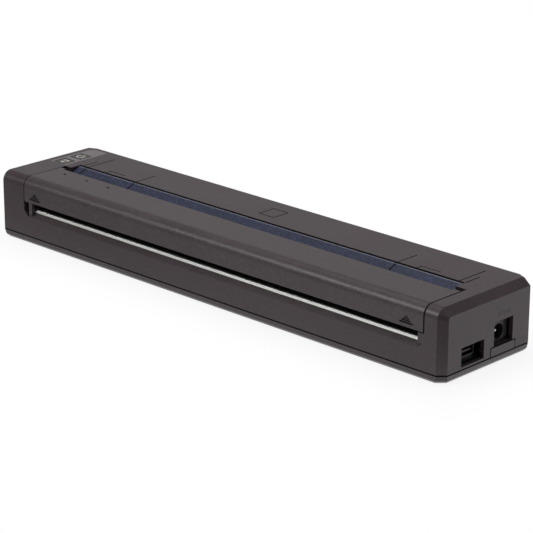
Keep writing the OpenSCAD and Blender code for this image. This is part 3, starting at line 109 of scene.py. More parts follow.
class Tree:
    """Writes nodes into one shader tree, with short calls for the common ones."""

    def __init__(self, tree: NodeTree) -> None:
        """Keeps the tree that the nodes go into."""
        self.tree = tree

    def node(self, kind: str, **settings: object) -> Node:
        """Adds a node.

        Args:
            kind: Blender's name of the node's class, without ShaderNode.
            **settings: Properties of the node.

        Returns:
            The new node.
        """
        made = self.tree.nodes.new("ShaderNode" + kind)
        for name, value in settings.items():
            setattr(made, name, value)
        return made

    def put(self, socket: Socket, value: object) -> None:
        """Links a socket to another one, or sets its value.

        Args:
            socket: The input socket.
            value: A socket to link, or the number, vector or colour to set.
        """
        if isinstance(value, bpy.types.NodeSocket):
            self.tree.links.new(value, socket)
        elif socket.type == "RGBA" and len(value) == 3:
            socket.default_value = (*value, 1.0)
        else:
            socket.default_value = value

    def math(self, operation: str, *values: Value, clamp: bool = False) -> Socket:
        """Adds a Math node.

        Args:
            operation: Blender's name of the operation.
            *values: One to three values.
            clamp: True keeps the result within 0 to 1.

        Returns:
            The result.
        """
        made = self.node("Math", operation=operation, use_clamp=clamp)
        for socket, value in zip(made.inputs, values):
            self.put(socket, value)
        return made.outputs[0]

    def vector(self, operation: str, *values: object) -> Socket:
        """Adds a Vector Math node.

        Args:
            operation: Blender's name of the operation.
            *values: The vectors it works on.

        Returns:
            The resulting vector.
        """
        made = self.node("VectorMath", operation=operation)
        for socket, value in zip(made.inputs, values):
            self.put(socket, value)
        return made.outputs[0]

    def feed(self, node: Node, **values: object) -> None:
        """Links or sets a node's inputs by name, with _ for a space."""
        for name, value in values.items():
            self.put(node.inputs[name.replace("_", " ")], value)

    def span(self, value: Value, low: float, high: float, start: Value = 0.0, end: Value = 1.0) -> Socket:
        """Maps low to high onto start to end with a smooth step.

        Args:
            value: The value that is mapped.
            low: Value that gives start.
            high: Value that gives end.
            start: Result at and below low.
            end: Result at and above high.

        Returns:
            The mapped value.
        """
        made = self.node("MapRange", interpolation_type="SMOOTHSTEP")
        self.feed(made, Value=value, From_Min=low, From_Max=high, To_Min=start, To_Max=end)
        return made.outputs[0]

    def away(self, value: Value, middle: Value) -> Socket:
        """The distance of a value from a middle."""
        return self.math("ABSOLUTE", self.minus(value, middle))

    def band(self, value: Value, middle: float, half: float, soft: float) -> Socket:
        """1 within half of the middle, falling to 0 over the soft width outside it."""
        return self.span(self.away(value, middle), half, half + soft, 1.0, 0.0)

    def window(self, value: Value, limits: Span, soft: float) -> Socket:
        """1 between the two limits, falling to 0 over the soft width outside them."""
        low, high = limits
        return self.band(value, (low + high) / 2, (high - low) / 2, soft)

    def fold(self, operation: str, first: Value, *others: Value) -> Socket:
        """Joins any number of values by one operation, from the first to the last.

        Args:
            operation: Blender's name of the operation.
            first: The first value.
            *others: The values after it.

        Returns:
            The result.
        """
        for other in others:
            first = self.math(operation, first, other)
        return first

    def plus(self, *values: Value) -> Socket:
        """The sum of any number of values."""
        return self.fold("ADD", *values)

    def minus(self, value: Value, taken: Value) -> Socket:
        """The first value less the second."""
        return self.math("SUBTRACT", value, taken)

    def product(self, *values: Value) -> Socket:
        """The product of any number of values."""
        return self.fold("MULTIPLY", *values)

    def most(self, *values: Value) -> Socket:
        """The largest of any number of values."""
        return self.fold("MAXIMUM", *values)

    def mix(self, factor: Value, first: object, second: object) -> Socket:
        """Mixes two colours.

        Args:
            factor: Share of the second colour, 0 to 1.
            first: Colour or socket.
            second: Colour or socket.

        Returns:
            The mixed colour.
        """
        made = self.node("Mix", data_type="RGBA", clamp_factor=True)
        for place, value in zip((0, 6, 7), (factor, first, second)):
            self.put(made.inputs[place], value)
        return made.outputs[2]

    def blend(self, factor: Value, first: Node, second: Node) -> Socket:
        """Mixes two shaders.

        Args:
            factor: Share of the second shader, 0 to 1.
            first: Node of the first shader.
            second: Node of the second shader.

        Returns:
            The mixed shader's output.
        """
        made = self.node("MixShader")
        for socket, value in zip(made.inputs, (factor, first.outputs[0], second.outputs[0])):
            self.put(socket, value)
        return made.outputs[0]

    def place(self) -> Socket:
        """The point's place in metres, from Object coordinates."""
        return self.node("TexCoord").outputs["Object"]

    def millimetres(self) -> tuple[Socket, Socket, Socket]:
        """The point's X, Y and Z in millimetres."""
        return self.parts(self.vector("MULTIPLY", self.place(), Vector((1000.0, 1000.0, 1000.0))))

    def parts(self, vector: Socket) -> tuple[Socket, Socket, Socket]:
        """Splits a vector.

        Args:
            vector: The vector.

        Returns:
            Its X, Y and Z.
        """
        made = self.node("SeparateXYZ")
        self.put(made.inputs[0], vector)
        return made.outputs[0], made.outputs[1], made.outputs[2]

    def noise(self, place: Socket, scale: Value, detail: float, rough: float, warp: float = 0) -> Socket:
        """Noise of 0 to 1.

        Args:
            place: Where the noise is read.
            scale: Number of bumps a metre.
            detail: Number of finer layers.
            rough: Weight of the finer layers.
            warp: How far the bumps are bent.

        Returns:
            The noise.
        """
        made = self.node("TexNoise", noise_dimensions="3D")
        self.feed(made, Vector=place, Scale=scale, Detail=detail, Roughness=rough, Distortion=warp)
        return made.outputs["Fac"]

    def use(self, effect: "Effect", **values: Value) -> Node:
        """Places a shared effect and sets its inputs.

        Args:
            effect: The shared effect.
            **values: Its inputs by name, with _ for a space.

        Returns:
            The placed group.
        """
        made = self.node("Group", node_tree=effect.group())
        self.feed(made, **values)
        return made


def fresh_tree(owner: Union[bpy.types.Material, bpy.types.World]) -> Tree:
    """Empties the nodes of a material or a world.

    Args:
        owner: The material or the world.

    Returns:
        The writer of its tree.
    """
    owner.use_nodes = True
    owner.node_tree.nodes.clear()
    return Tree(owner.node_tree)


def linked(name: str, data: bpy.types.ID) -> bpy.types.Object:
    """Makes an object of a mesh, a lamp or a camera and links it to the scene.

    Args:
        name: The object's name.
        data: Its mesh, lamp or camera.

    Returns:
        The object.
    """
    made = bpy.data.objects.new(name, data)
    bpy.context.scene.collection.objects.link(made)
    return made


@dataclass(frozen=True)
class CaseLines:
    """Where the gaps and the engraved marks of the case lie, in millimetres."""

    seam_z: float = 3.5
    cover_left_x: float = -110.5
    cover_right_x: float = 118.0
    cover_y: Span = (-28.0, -3.2)
    cover_z: Span = (19.3, 31.0)
    marks_x: Span = (-121.0, 120.0)
    marks_y: Span = (2.5, 23.4)
    marks_z: Span = (29.3, 29.86)
    triangles_x: tuple[Span, Span] = ((-107.5, -99.3), (105.3, 113.5))
    triangles_y: Span = (-27.42, -26.9)
    triangles_z: Span = (20.4, 24.3)
    tongue_front_y: float = 1.1
    tongue_rear_y: float = 16.1
    tongue_z: Span = (3.4, 7.3)
    tongue_top_z: float = 7.4
    tongue_top_y: Span = (1.0, 16.2)
    end_face_x: Span = (126.4, 126.6)
    key_x: float = -116.55
    front_key_y: float = 1.6
    rear_key_y: float = 11.3
    key_half: float = 3.15


LINES = CaseLines()


@dataclass
class Effect:
    """A shared effect: a shader node group that is built the first time it is placed."""

    name: str
    inputs: dict[str, object]
    fill: Callable[[Tree, Wires], Wires]
    built: Optional[NodeTree] = None

    def group(self) -> NodeTree:
        """Builds the group on the first call; a tuple as an input's default makes a vector.

        Returns:
            The node group.
        """
        if self.built is not None:
            return self.built
        self.built = bpy.data.node_groups.new(self.name, "ShaderNodeTree")
        sockets = self.built.interface
        for name, default in self.inputs.items():
            kind = "NodeSocketVector" if isinstance(default, tuple) else "NodeSocketFloat"
            made = sockets.new_socket(name.replace("_", " "), in_out="INPUT", socket_type=kind)
            made.default_value = default
        writer = Tree(self.built)
        source = self.built.nodes.new("NodeGroupInput")
        results = self.fill(writer, {socket.name: socket for socket in source.outputs if socket.name})
        for name in results:
            sockets.new_socket(name, in_out="OUTPUT", socket_type="NodeSocketFloat")
        writer.feed(self.built.nodes.new("NodeGroupOutput"), **results)
        return self.built


def shared(name: str, **inputs: object) -> Callable[[Callable[[Tree, Wires], Wires]], Effect]:
    """Makes a shared effect of the function below it, which writes its nodes.

    Args:
        name: The node group's name.
        **inputs: Default of each input by name, with _ for a space.

    Returns:
        The decorator.
    """
    return lambda fill: Effect(name, inputs, fill)


@shared("mould grain", Pitch_mm=0.3)
def mould_grain(t: Tree, given: Wires) -> Wires:
    """Spark-eroded mould texture: rounded pits and bumps, a few to the millimetre.

    Fine noise is added to the distance from scattered points.

    Args:
        t: Writer of the group's nodes.
        given: The group's inputs by name.

    Returns:
        The group's outputs by name.
    """
    scale = t.math("DIVIDE", 1.0, t.product(given["Pitch mm"], MM))
    place = t.place()
    fine = t.noise(place, scale, 2.0, 0.55)
    pits = t.node("TexVoronoi", feature="SMOOTH_F1", distance="EUCLIDEAN")
    t.feed(pits, Vector=place, Scale=t.product(scale, 0.8))
    height = t.plus(t.product(fine, 0.6), t.product(pits.outputs["Distance"], 0.55))
    return {"Height": height, "Tone": t.span(height, 0.4, 0.85)}


@shared("slow drift", Size_mm=30.0)
def slow_drift(t: Tree, given: Wires) -> Wires:
    """Slow unevenness of a moulded or painted face, over centimetres.

    Args:
        t: Writer of the group's nodes.
        given: The group's inputs by name.

    Returns:
        The group's outputs by name.
    """
    scale = t.math("DIVIDE", 1.0, t.product(given["Size mm"], MM))
    return {"Value": t.span(t.noise(t.place(), scale, 3.0, 0.5, 0.4), 0.3, 0.7)}


@shared("edge rub", Centre=(0.0, 0.0, 0.0), Half_size=(0.1, 0.1, 0.1), Width=0.004)
def edge_wear_and_sheen(t: Tree, given: Wires) -> Wires:
    """Mask along the outer edges of a box-shaped case, for the wear that hands leave there and for a
    painted sheen.

    Near an edge of the box two of the three distances to its faces are small, so each distance is
    turned into 1 at the face and 0 at the width, and the pairs are multiplied. Noise breaks it up.

    Args:
        t: Writer of the group's nodes.
        given: The group's inputs by name.

    Returns:
        The group's outputs by name.
    """
    place = t.place()
    away = t.vector("SUBTRACT", place, given["Centre"])
    left = t.vector("SUBTRACT", given["Half size"], t.vector("ABSOLUTE", away))
    depths = [t.math("DIVIDE", part, given["Width"], clamp=True) for part in t.parts(left)]
    near = [t.minus(1.0, depth) for depth in depths]
    edge = t.most(*[t.product(near[a], near[b]) for a, b in ((0, 1), (1, 2), (2, 0))])
    patchy = t.span(t.noise(place, 160.0, 4.0, 0.6), 0.35, 0.75, 0.35, 1.0)
    return {"Mask": t.product(t.math("MULTIPLY", edge, 2.2, clamp=True), patchy)}


@shared("settled dust", Amount=0.1)
def settled_dust(t: Tree, given: Wires) -> Wires:
    """Fine dust on faces that look up: the upward share of the normal, times patchy specks.

    Args:
        t: Writer of the group's nodes.
        given: The group's inputs by name.

    Returns:
        The group's outputs by name.
    """
    coords = t.node("TexCoord")
    up = t.span(t.parts(coords.outputs["Normal"])[2], 0.3, 0.95)
    specks = t.span(t.noise(coords.outputs["Object"], 2600.0, 2.0, 0.7), 0.62, 0.74)
    patches = t.span(t.noise(coords.outputs["Object"], 45.0, 3.0, 0.6), 0.4, 0.7, 0.25, 1.0)
    veil = t.plus(t.product(specks, 0.8), 0.2)
    return {"Mask": t.product(veil, patches, up, given["Amount"])}


@shared("brushed streaks", Stretch=(1000.0, 1000.0, 1000.0))
def brushed_streaks(t: Tree, given: Wires) -> Wires:
    """Streaks of a brushed, ground or drawn metal face: noise that is long along one axis.

    Args:
        t: Writer of the group's nodes.
        given: The group's inputs by name.

    Returns:
        The group's outputs by name.
    """
    place = t.vector("MULTIPLY", t.place(), given["Stretch"])
    fine = t.noise(place, 1.0, 3.0, 0.65)
    broad = t.noise(place, 0.23, 2.0, 0.5)
    height = t.plus(t.product(fine, 0.7), t.product(broad, 0.3))
    return {"Height": height, "Tone": t.span(height, 0.3, 0.7)}


@shared("hairline scratches", Amount=0.2)
def hairlines(t: Tree, given: Wires) -> Wires:
    """Hair-fine scratches of handling: thin bends where a stretched noise crosses its middle.

    Args:
        t: Writer of the group's nodes.
        given: The group's inputs by name.

    Returns:
        The group's outputs by name.
    """
    lines = []
    for stretch in ((30.0, 420.0, 90.0), (380.0, 40.0, 120.0)):
        place = t.vector("MULTIPLY", t.place(), Vector(stretch))
        level = t.away(t.noise(place, 1.0, 1.0, 0.4, 1.2), 0.5)
        lines.append(t.span(level, 0.0, 0.006, 1.0, 0.0))
    gate = t.span(t.noise(t.place(), 70.0, 2.0, 0.5), 0.52, 0.62)
    return {"Mask": t.product(t.most(*lines), gate, given["Amount"])}


@shared("case gaps")
def case_gap_shade(t: Tree, given: Wires) -> Wires:
    """Painted shade in the gaps and engraved marks of the case, each a slab of the case's own frame.

    It is the most of the seam, the cover's end gaps, the marks, the triangles and the tongue.

    Args:
        t: Writer of the group's nodes.
        given: Not used, as the group has no inputs.

    Returns:
        The group's outputs by name.
    """
    x, y, z = t.millimetres()
    seam = t.band(z, LINES.seam_z, 0.25, 0.2)
    mouth = t.product(t.window(y, LINES.cover_y, 0.2), t.window(z, LINES.cover_z, 0.1))
    left_end = t.product(t.band(x, LINES.cover_left_x, 0.2, 0.15), 0.4)
    ends = t.most(t.band(x, LINES.cover_right_x, 0.3, 0.15), left_end)
    top = t.product(t.window(z, LINES.marks_z, 0.05), t.window(x, LINES.marks_x, 0.2))
    marks = t.product(top, t.window(y, LINES.marks_y, 0.1))
    sides = t.most(*[t.window(x, limits, 0.1) for limits in LINES.triangles_x])
    front = t.product(t.window(y, LINES.triangles_y, 0.04), t.window(z, LINES.triangles_z, 0.05))
    triangles = t.product(front, sides)
    front_edge = t.band(y, LINES.tongue_front_y, 0.2, 0.12)
    rear_edge = t.band(y, LINES.tongue_rear_y, 0.12, 0.1)
    upright = t.product(t.most(front_edge, rear_edge), t.window(z, LINES.tongue_z, 0.1))
    top_edge = t.band(z, LINES.tongue_top_z, 0.22, 0.12)
    across = t.product(top_edge, t.window(y, LINES.tongue_top_y, 0.1))
    tongue = t.product(t.most(upright, across), t.span(x, *LINES.end_face_x))
    return {"Mask": t.most(seam, t.product(mouth, ends), marks, triangles, tongue)}


@shared("key gaps", Key_x=LINES.key_x, Front_y=LINES.front_key_y, Rear_y=LINES.rear_key_y)
def key_gap_shade(t: Tree, given: Wires) -> Wires:
    """Painted shade in the gap round each square key, by the larger distance along X and Y.

    Args:
        t: Writer of the group's nodes.
        given: The group's inputs by name.

    Returns:
        The group's outputs by name.
    """
    x, y, _ = t.millimetres()
    side = t.away(x, given["Key x"])
    frames = []
    for name in ("Front y", "Rear y"):
        outline = t.band(t.most(side, t.away(y, given[name])), LINES.key_half, 0.1, 0.7)
        frames.append(t.product(outline, 0.6))
    return {"Mask": t.most(*frames)}


class GapShade(Enum):
    """Which gaps get painted shade in a moulded finish."""

    NONE = "none"
    CASE = "case"
    KEYS = "keys"


class Finish:
    """A finish that is made into one material the first time it is used."""

    name: str

    def write(self, t: Tree, skin: Node) -> None:
        """Writes the nodes that feed the surface shader; each finish has its own."""
        raise NotImplementedError

    def material(self) -> bpy.types.Material:
        """The finish's material, made once.

        Returns:
            The material with its nodes.
        """
        found = bpy.data.materials.get(self.name)
        if found is not None and found.get("finish") == self.name:
            return found
        made = bpy.data.materials.new(self.name)
        made["finish"] = self.name
        t = fresh_tree(made)
        skin = t.node("BsdfPrincipled")
        self.write(t, skin)
        t.feed(t.node("OutputMaterial"), Surface=skin.outputs[0])
        return made

    def bump(self, t: Tree, skin: Node, height: Socket, depth_mm: float) -> None:
        """Feeds a height of 0 to 1, of so many millimetres in all, into the normal.

        Args:
            t: Writer of the material's nodes.
            skin: The surface shader.
            height: The height.
            depth_mm: Depth of the whole height in millimetres.
        """
        made = t.node("Bump")
        t.feed(made, Strength=1.0, Distance=depth_mm * MM, Height=height)
        t.feed(skin, Normal=made.outputs[0])

    def drift(self, t: Tree, size_mm: float) -> Socket:
        """Slow unevenness of so many millimetres, 0 to 1."""
        return t.use(slow_drift, Size_mm=size_mm).outputs["Value"]

    def grain(self, t: Tree, pitch_mm: float) -> tuple[Socket, Socket]:
        """Height and tone of the spark texture at a pitch."""
        made = t.use(mould_grain, Pitch_mm=pitch_mm)
        return made.outputs["Height"], made.outputs["Tone"]


@dataclass(frozen=True)
class Mould:
    """Size and centre of the moulded case, and how wide its worn edges with their painted sheen are."""

    centre: Point = (0.0, 0.0, 0.015)
    half_size: Point = (0.1275, 0.0275, 0.015)
    width: float = 0.0042


@dataclass(frozen=True)
class MouldedPlastic(Finish):
    """Black or tinted moulded plastic with a spark texture, worn edges with a painted sheen, painted shade
    in its gaps where set, and a little dust.
    """

    name: str
    colour: Colour
    light: Colour
    roughness: float = 0.5
    pitch_mm: float = 0.32
    depth_mm: float = 0.012
    speckle: float = 0.5
    wear_and_sheen: float = 0.35
    dust: float = 0.05
    scratches: float = 0.12
    shine: float = 0.5
    gaps: GapShade = GapShade.NONE
    mould: Mould = field(default_factory=Mould)

    def gap(self, t: Tree) -> Value:
        """The mask of the painted shade in the gaps that this finish shows.

        Args:
            t: Writer of the material's nodes.

        Returns:
            The mask, 1 in a gap.
        """
        if self.gaps is GapShade.CASE:
            return t.use(case_gap_shade).outputs["Mask"]
        if self.gaps is GapShade.KEYS:
            return t.use(key_gap_shade).outputs["Mask"]
        return 0.0

    def tint(self, t: Tree, body: Socket) -> Socket:
        """The body colour as it is; a finish with a painted rim highlight or a print lays it over here."""
        return body

    def write(self, t: Tree, skin: Node) -> None:
        """Mixes the two tones by grain and drift, lightens the worn edges as a painted sheen, adds dust
        and the painted shade of the gaps, and roughens by the same.

        Args:
            t: Writer of the material's nodes.
            skin: The surface shader.
        """
        bumps, tone = self.grain(t, self.pitch_mm)
        drift = self.drift(t, 28.0)
        box = self.mould
        wear_sheen = t.use(edge_wear_and_sheen, Centre=box.centre, Half_size=box.half_size, Width=box.width)
        wear_sheen = wear_sheen.outputs["Mask"]
        dust = t.use(settled_dust, Amount=self.dust).outputs["Mask"]
        lines = t.use(hairlines, Amount=self.scratches).outputs["Mask"]
        tone = t.math("ADD", t.product(tone, self.speckle), t.product(drift, 0.25), clamp=True)
        body = t.mix(tone, self.colour, self.light)
        # Painted sheen: the worn edges are lightened towards a tone brighter than the lighter one.
        body = t.mix(t.product(wear_sheen, self.wear_and_sheen * 0.5), body, scaled(self.light, 1.35))
        body = t.mix(dust, body, DUST_TONE)
        # Painted shade: gaps and engraved marks are darkened to near black and made rough.
        gap = self.gap(t)
        t.feed(skin, Base_Color=t.mix(gap, self.tint(t, body), GAP_SHADE_TONE))
        rough = t.plus(self.roughness, t.product(t.minus(drift, 0.5), 0.05))
        rough = t.minus(rough, t.product(wear_sheen, self.wear_and_sheen * 0.22))
        rough = t.minus(rough, t.product(lines, 0.25))
        rough = t.math("ADD", rough, t.product(dust, 0.5), clamp=True)
        t.feed(skin, Roughness=t.most(rough, gap), Specular_IOR_Level=self.shine, IOR=1.5)
        self.bump(t, skin, t.minus(bumps, t.product(lines, 0.3)), self.depth_mm)


@dataclass(frozen=True)
class RampPlastic(MouldedPlastic):
    """Blue moulded plastic whose rounded rear rim gets a painted highlight, a pale tone above the rim's
    height.
    """

    rim_z: float = 29.52
    # Painted highlight of the rounded rim.
    rim: Colour = srgb(134, 133, 142)
    grooves_x: Point = (-102.0, -71.0, 79.0)

    def gap(self, t: Tree) -> Value:
        """Painted shade in the paper-width grooves across the slope.

        Args:
            t: Writer of the material's nodes.

        Returns:
            The mask, 1 in a gap.
        """
        x, _, z = t.millimetres()
        grooves = t.most(*[t.band(x, place, 0.25, 0.2) for place in self.grooves_x])
        return t.product(grooves, t.span(z, self.rim_z, self.rim_z - 0.15))

    def tint(self, t: Tree, body: Socket) -> Socket:
        """Lays the painted highlight, a pale tone, over the body colour above the rim's height."""
        _, _, z = t.millimetres()
        return t.mix(t.product(t.span(z, self.rim_z, self.rim_z + 0.12), 0.55), body, self.rim)


@dataclass(frozen=True)
class StreakedMetal(Finish):
    """Sheet, ground or drawn metal with streaks along one axis and a slight tarnish."""

    name: str
    colour: Colour
    dull: Colour
    roughness: float = 0.3
    along: Axis = Axis.X
    streaks_mm: float = 0.08
    length_mm: float = 14.0
    depth_mm: float = 0.003
    spangle: float = 0.0

    def tint(self, t: Tree, body: Socket) -> Socket:
        """The metal's colour as it is; a strip with painted shade behind its edge lays that over here."""
        return body

    def write(self, t: Tree, skin: Node) -> None:
        """Tints and roughens by streaks, and by the crystals of a zinc coat where it has one.

        Args:
            t: Writer of the material's nodes.
            skin: The surface shader.
        """
        stretch = [1.0 / (self.streaks_mm * MM)] * 3
        stretch[self.along.value] = 1.0 / (self.length_mm * MM)
        streaks = t.use(brushed_streaks, Stretch=Vector(stretch))
        drift = self.drift(t, 12.0)
        tone = t.math("ADD", t.product(streaks.outputs["Tone"], 0.5), t.product(drift, 0.35), clamp=True)
        rough = t.plus(self.roughness, t.product(t.minus(tone, 0.5), 0.16))
        if self.spangle:
            flakes = t.node("TexVoronoi", feature="F1")
            t.feed(flakes, Vector=t.place(), Scale=420.0)
            shade = t.parts(flakes.outputs["Color"])[0]
            tone = t.math("ADD", tone, t.product(t.minus(shade, 0.5), self.spangle), clamp=True)
            rough = t.plus(rough, t.product(t.minus(shade, 0.5), self.spangle * 0.4))
        body = self.tint(t, t.mix(tone, self.colour, self.dull))
        t.feed(skin, Base_Color=body, Roughness=rough, Metallic=1.0)
        self.bump(t, skin, streaks.outputs["Height"], self.depth_mm)


@dataclass(frozen=True)
class SteelStripPaintedShade(StreakedMetal):
    """Steel strip, bright along its front edge, with painted shade over the strip behind it."""

    edge_y: float = -24.2
    # Painted shade behind the front edge, which leaves the lit edge thin.
    dark: Colour = srgb(70, 68, 70)

    def tint(self, t: Tree, body: Socket) -> Socket:
        """Lays the painted shade, a dark tone, over the strip behind the front edge."""
        _, y, _ = t.millimetres()
        return t.mix(t.span(y, self.edge_y, self.edge_y + 0.3), body, self.dark)


@dataclass(frozen=True)
class GroundRubber(Finish):
    """Ground rubber of a roller: fine lines round its axis and paper dust."""

    name: str
    colour: Colour
    worn: Colour
    roughness: float = 0.62

    def write(self, t: Tree, skin: Node) -> None:
        """Lines that are long round the axis, with paler dust between them.

        Args:
            t: Writer of the material's nodes.
            skin: The surface shader.
        """
        rings = t.use(brushed_streaks, Stretch=Vector((9000.0, 160.0, 160.0)))
        bumps, specks = self.grain(t, 0.2)
        drift = self.drift(t, 22.0)
        tone = t.product(t.plus(rings.outputs["Tone"], drift), 0.45)
        t.feed(skin, Base_Color=t.mix(tone, self.colour, self.worn))
        t.feed(skin, Roughness=t.plus(self.roughness, t.product(specks, 0.12)), Specular_IOR_Level=0.35)
        self.bump(t, skin, t.plus(rings.outputs["Height"], t.product(bumps, 0.4)), 0.008)


@dataclass(frozen=True)
class MouldedAcetal(Finish):
    """Milky gear plastic, faintly see-through, with grease-darkened flanks."""

    name: str
    colour: Colour
    greased: Colour

    def write(self, t: Tree, skin: Node) -> None:
        """Slow drift to the greased tone, with tool marks in the bump.

        Args:
            t: Writer of the material's nodes.
            skin: The surface shader.
        """
        drift = self.drift(t, 5.0)
        bumps, tone = self.grain(t, 0.5)
        t.feed(skin, Base_Color=t.mix(t.product(drift, 0.6), self.colour, self.greased))
        t.feed(skin, Roughness=t.span(tone, 0.0, 1.0, 0.34, 0.46), Subsurface_Weight=0.15)
        t.feed(skin, Subsurface_Radius=(0.002, 0.0018, 0.0014), Subsurface_Scale=0.5)
        self.bump(t, skin, bumps, 0.006)


@dataclass(frozen=True)
class SmokedLens(Finish):
    """Smoke-dark light pipe of an unlit signal light."""

    name: str
    colour: Colour

    def write(self, t: Tree, skin: Node) -> None:
        """Dark clear plastic with a polished, faintly drifting face.

        Args:
            t: Writer of the material's nodes.
            skin: The surface shader.
        """
        drift = self.drift(t, 1.2)
        t.feed(skin, Base_Color=t.mix(drift, self.colour, scaled(self.colour, 1.7)))
        t.feed(skin, Roughness=t.plus(0.12, t.product(drift, 0.08)))
        t.feed(skin, Transmission_Weight=0.35, IOR=1.49, Coat_Weight=0.4)
        self.bump(t, skin, self.grain(t, 0.25)[0], 0.002)


@dataclass(frozen=True)
class CircuitBoard(Finish):
    """Green solder mask over copper tracks, with bare pads.

    Tracks are square rings round scattered points, and pads the middles of some of them.
    """

    name: str
    mask: Colour
    track: Colour
    pad: Colour
    cell_mm: float = 2.6

    def write(self, t: Tree, skin: Node) -> None:
        """Lays tracks and pads under the mask and raises them a little.

        Args:
            t: Writer of the material's nodes.
            skin: The surface shader.
        """
        place = t.place()
        cells = t.node("TexVoronoi", feature="F1", distance="CHEBYCHEV")
        t.feed(cells, Vector=place, Scale=1.0 / (self.cell_mm * MM), Randomness=0.75)
        reach = cells.outputs["Distance"]
        rings = t.math("PINGPONG", t.product(reach, 5.5), 0.5)
        track = t.span(rings, 0.2, 0.26)
        chosen = t.span(t.parts(cells.outputs["Color"])[0], 0.62, 0.64)
        pad = t.product(t.span(reach, 0.16, 0.14, 0.0, 1.0), chosen)
        weave = t.node("TexWave", wave_type="BANDS", bands_direction="DIAGONAL")
        t.feed(weave, Vector=place, Scale=900.0)
        body = t.mix(track, self.mask, self.track)
        body = t.mix(t.product(weave.outputs["Fac"], 0.12), body, scaled(self.mask, 1.6))
        t.feed(skin, Base_Color=t.mix(pad, body, self.pad), Metallic=pad)
        t.feed(skin, Roughness=t.minus(0.34, t.product(pad, 0.08)))
        t.feed(skin, Coat_Weight=t.minus(0.5, t.product(pad, 0.5)))
        self.bump(t, skin, t.plus(track, pad), 0.03)


@dataclass(frozen=True)
class PrintHeadGlaze(Finish):
    """Glazed ceramic with its dark heating line, the black cover over its drivers, and a black front edge
    as painted shade.
    """

    name: str
    glaze: Colour
    line: Colour
    cover: Colour
    line_y: float
    cover_y: float
    front_y: float
    tracks: Colour = srgb(176, 142, 92)
    track_pitch: float = 0.5 * MM

    def write(self, t: Tree, skin: Node) -> None:
        """Colours by depth: a black front edge as painted shade, a line over the heaters, copper tracks,
        then the cover.

        Args:
            t: Writer of the material's nodes.
            skin: The surface shader.
        """
        across, deep, _ = t.parts(t.place())
        line = t.span(t.away(deep, self.line_y), 0.35 * MM, 0.55 * MM, 1.0, 0.0)
        # Painted shade: the front half millimetre is made as black as the driver cover, for the dark slot
        # behind the exit guide.
        front = t.span(deep, self.front_y + 0.5 * MM, self.front_y + 0.6 * MM, 1.0, 0.0)
        cover = t.most(front, t.span(deep, self.cover_y - 0.04 * MM, self.cover_y + 0.04 * MM))
        turn = t.math("FRACT", t.product(across, 1.0 / self.track_pitch))
        combs = t.product(t.span(t.away(turn, 0.5), 0.2, 0.28), 0.35)
        body = t.mix(line, t.mix(combs, self.glaze, self.tracks), self.line)
        t.feed(skin, Base_Color=t.mix(cover, body, self.cover))
        t.feed(skin, Roughness=t.plus(0.14, t.product(cover, 0.36)))
        self.bump(t, skin, t.product(self.grain(t, 0.4)[0], cover), 0.01)


@dataclass(frozen=True)
class FlexFilm(Finish):
    """Amber film of a flat cable with copper conductors under it."""

    name: str
    film: Colour
    copper: Colour
    pitch_mm: float = 0.8

    def write(self, t: Tree, skin: Node) -> None:
        """Conductors as stripes along the cable, at an even pitch across X.

        Args:
            t: Writer of the material's nodes.
            skin: The surface shader.
        """
        across = t.parts(t.place())[0]
        turn = t.math("FRACT", t.product(across, 1000.0 / self.pitch_mm))
        strip = t.span(t.away(turn, 0.5), 0.22, 0.27, 1.0, 0.0)
        drift = self.drift(t, 6.0)
        body = t.mix(strip, self.film, self.copper)
        t.feed(skin, Base_Color=t.mix(t.product(drift, 0.2), body, scaled(self.film, 0.6)))
        t.feed(skin, Roughness=t.plus(0.24, t.product(drift, 0.1)), Metallic=t.product(strip, 0.3))
        self.bump(t, skin, strip, 0.02)


@dataclass(frozen=True)
class ShrinkWrap(Finish):
    """Dark film shrunk over a row of battery cells, with its creases at each joint."""

    name: str
    colour: Colour
    light: Colour
    cell_mm: float = 65.3
    left_end: float = 88.4 * MM

    def write(self, t: Tree, skin: Node) -> None:
        """Creases round each joint between cells, and small wrinkles all over.

        Args:
            t: Writer of the material's nodes.
            skin: The surface shader.
        """
        place = t.place()
        along = t.plus(t.parts(place)[0], self.left_end)
        turn = t.math("FRACT", t.product(along, 1000.0 / self.cell_mm))
        near = t.away(t.away(turn, 0.5), 0.5)
        crease = t.span(near, 0.0, 0.02, 1.0, 0.0)
        wrinkles = t.noise(t.vector("MULTIPLY", place, Vector((140.0, 500.0, 500.0))), 1.0, 4.0, 0.6, 0.8)
        drift = self.drift(t, 15.0)
        t.feed(skin, Base_Color=t.mix(t.product(drift, 0.7), self.colour, self.light))
        t.feed(skin, Roughness=t.plus(0.28, t.product(wrinkles, 0.14)))
        self.bump(t, skin, t.minus(t.product(wrinkles, 0.35), crease), 0.12)


@dataclass(frozen=True)
class PadInk(Finish):
    """Pad-printed ink: even, matt, with tiny gaps where the texture below shows."""

    name: str
    ink: Colour
    below: Colour

    def write(self, t: Tree, skin: Node) -> None:
        """Thins the ink over the highest grains.

        Args:
            t: Writer of the material's nodes.
            skin: The surface shader.
        """
        bumps, tone = self.grain(t, 0.18)
        gaps = t.product(t.span(tone, 0.72, 0.95), 0.5)
        t.feed(skin, Base_Color=t.mix(gaps, self.ink, self.below))
        t.feed(skin, Roughness=t.plus(0.5, t.product(gaps, 0.2)))
        self.bump(t, skin, bumps, 0.005)


def dress(finish: Finish, *names: str) -> None:
    """Gives CAD nodes a finish through their material slots.

    Args:
        finish: The finish.
        *names: The nodes.
    """
    material = finish.material()
    for name in names:
        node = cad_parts[name]
        if not node.material_slots:
            node.data.materials.append(material)
        for slot in node.material_slots:
            slot.material = material
        log.info("dressed %s in %s", name, finish.name)


def grid_faces(index: np.ndarray) -> np.ndarray:
    """Four-sided faces between the neighbouring rows and columns of a grid of point numbers."""
    corners = [index[:-1, :-1], index[:-1, 1:], index[1:, 1:], index[1:, :-1]]
    return np.stack(corners, axis=-1).reshape(-1, 4)


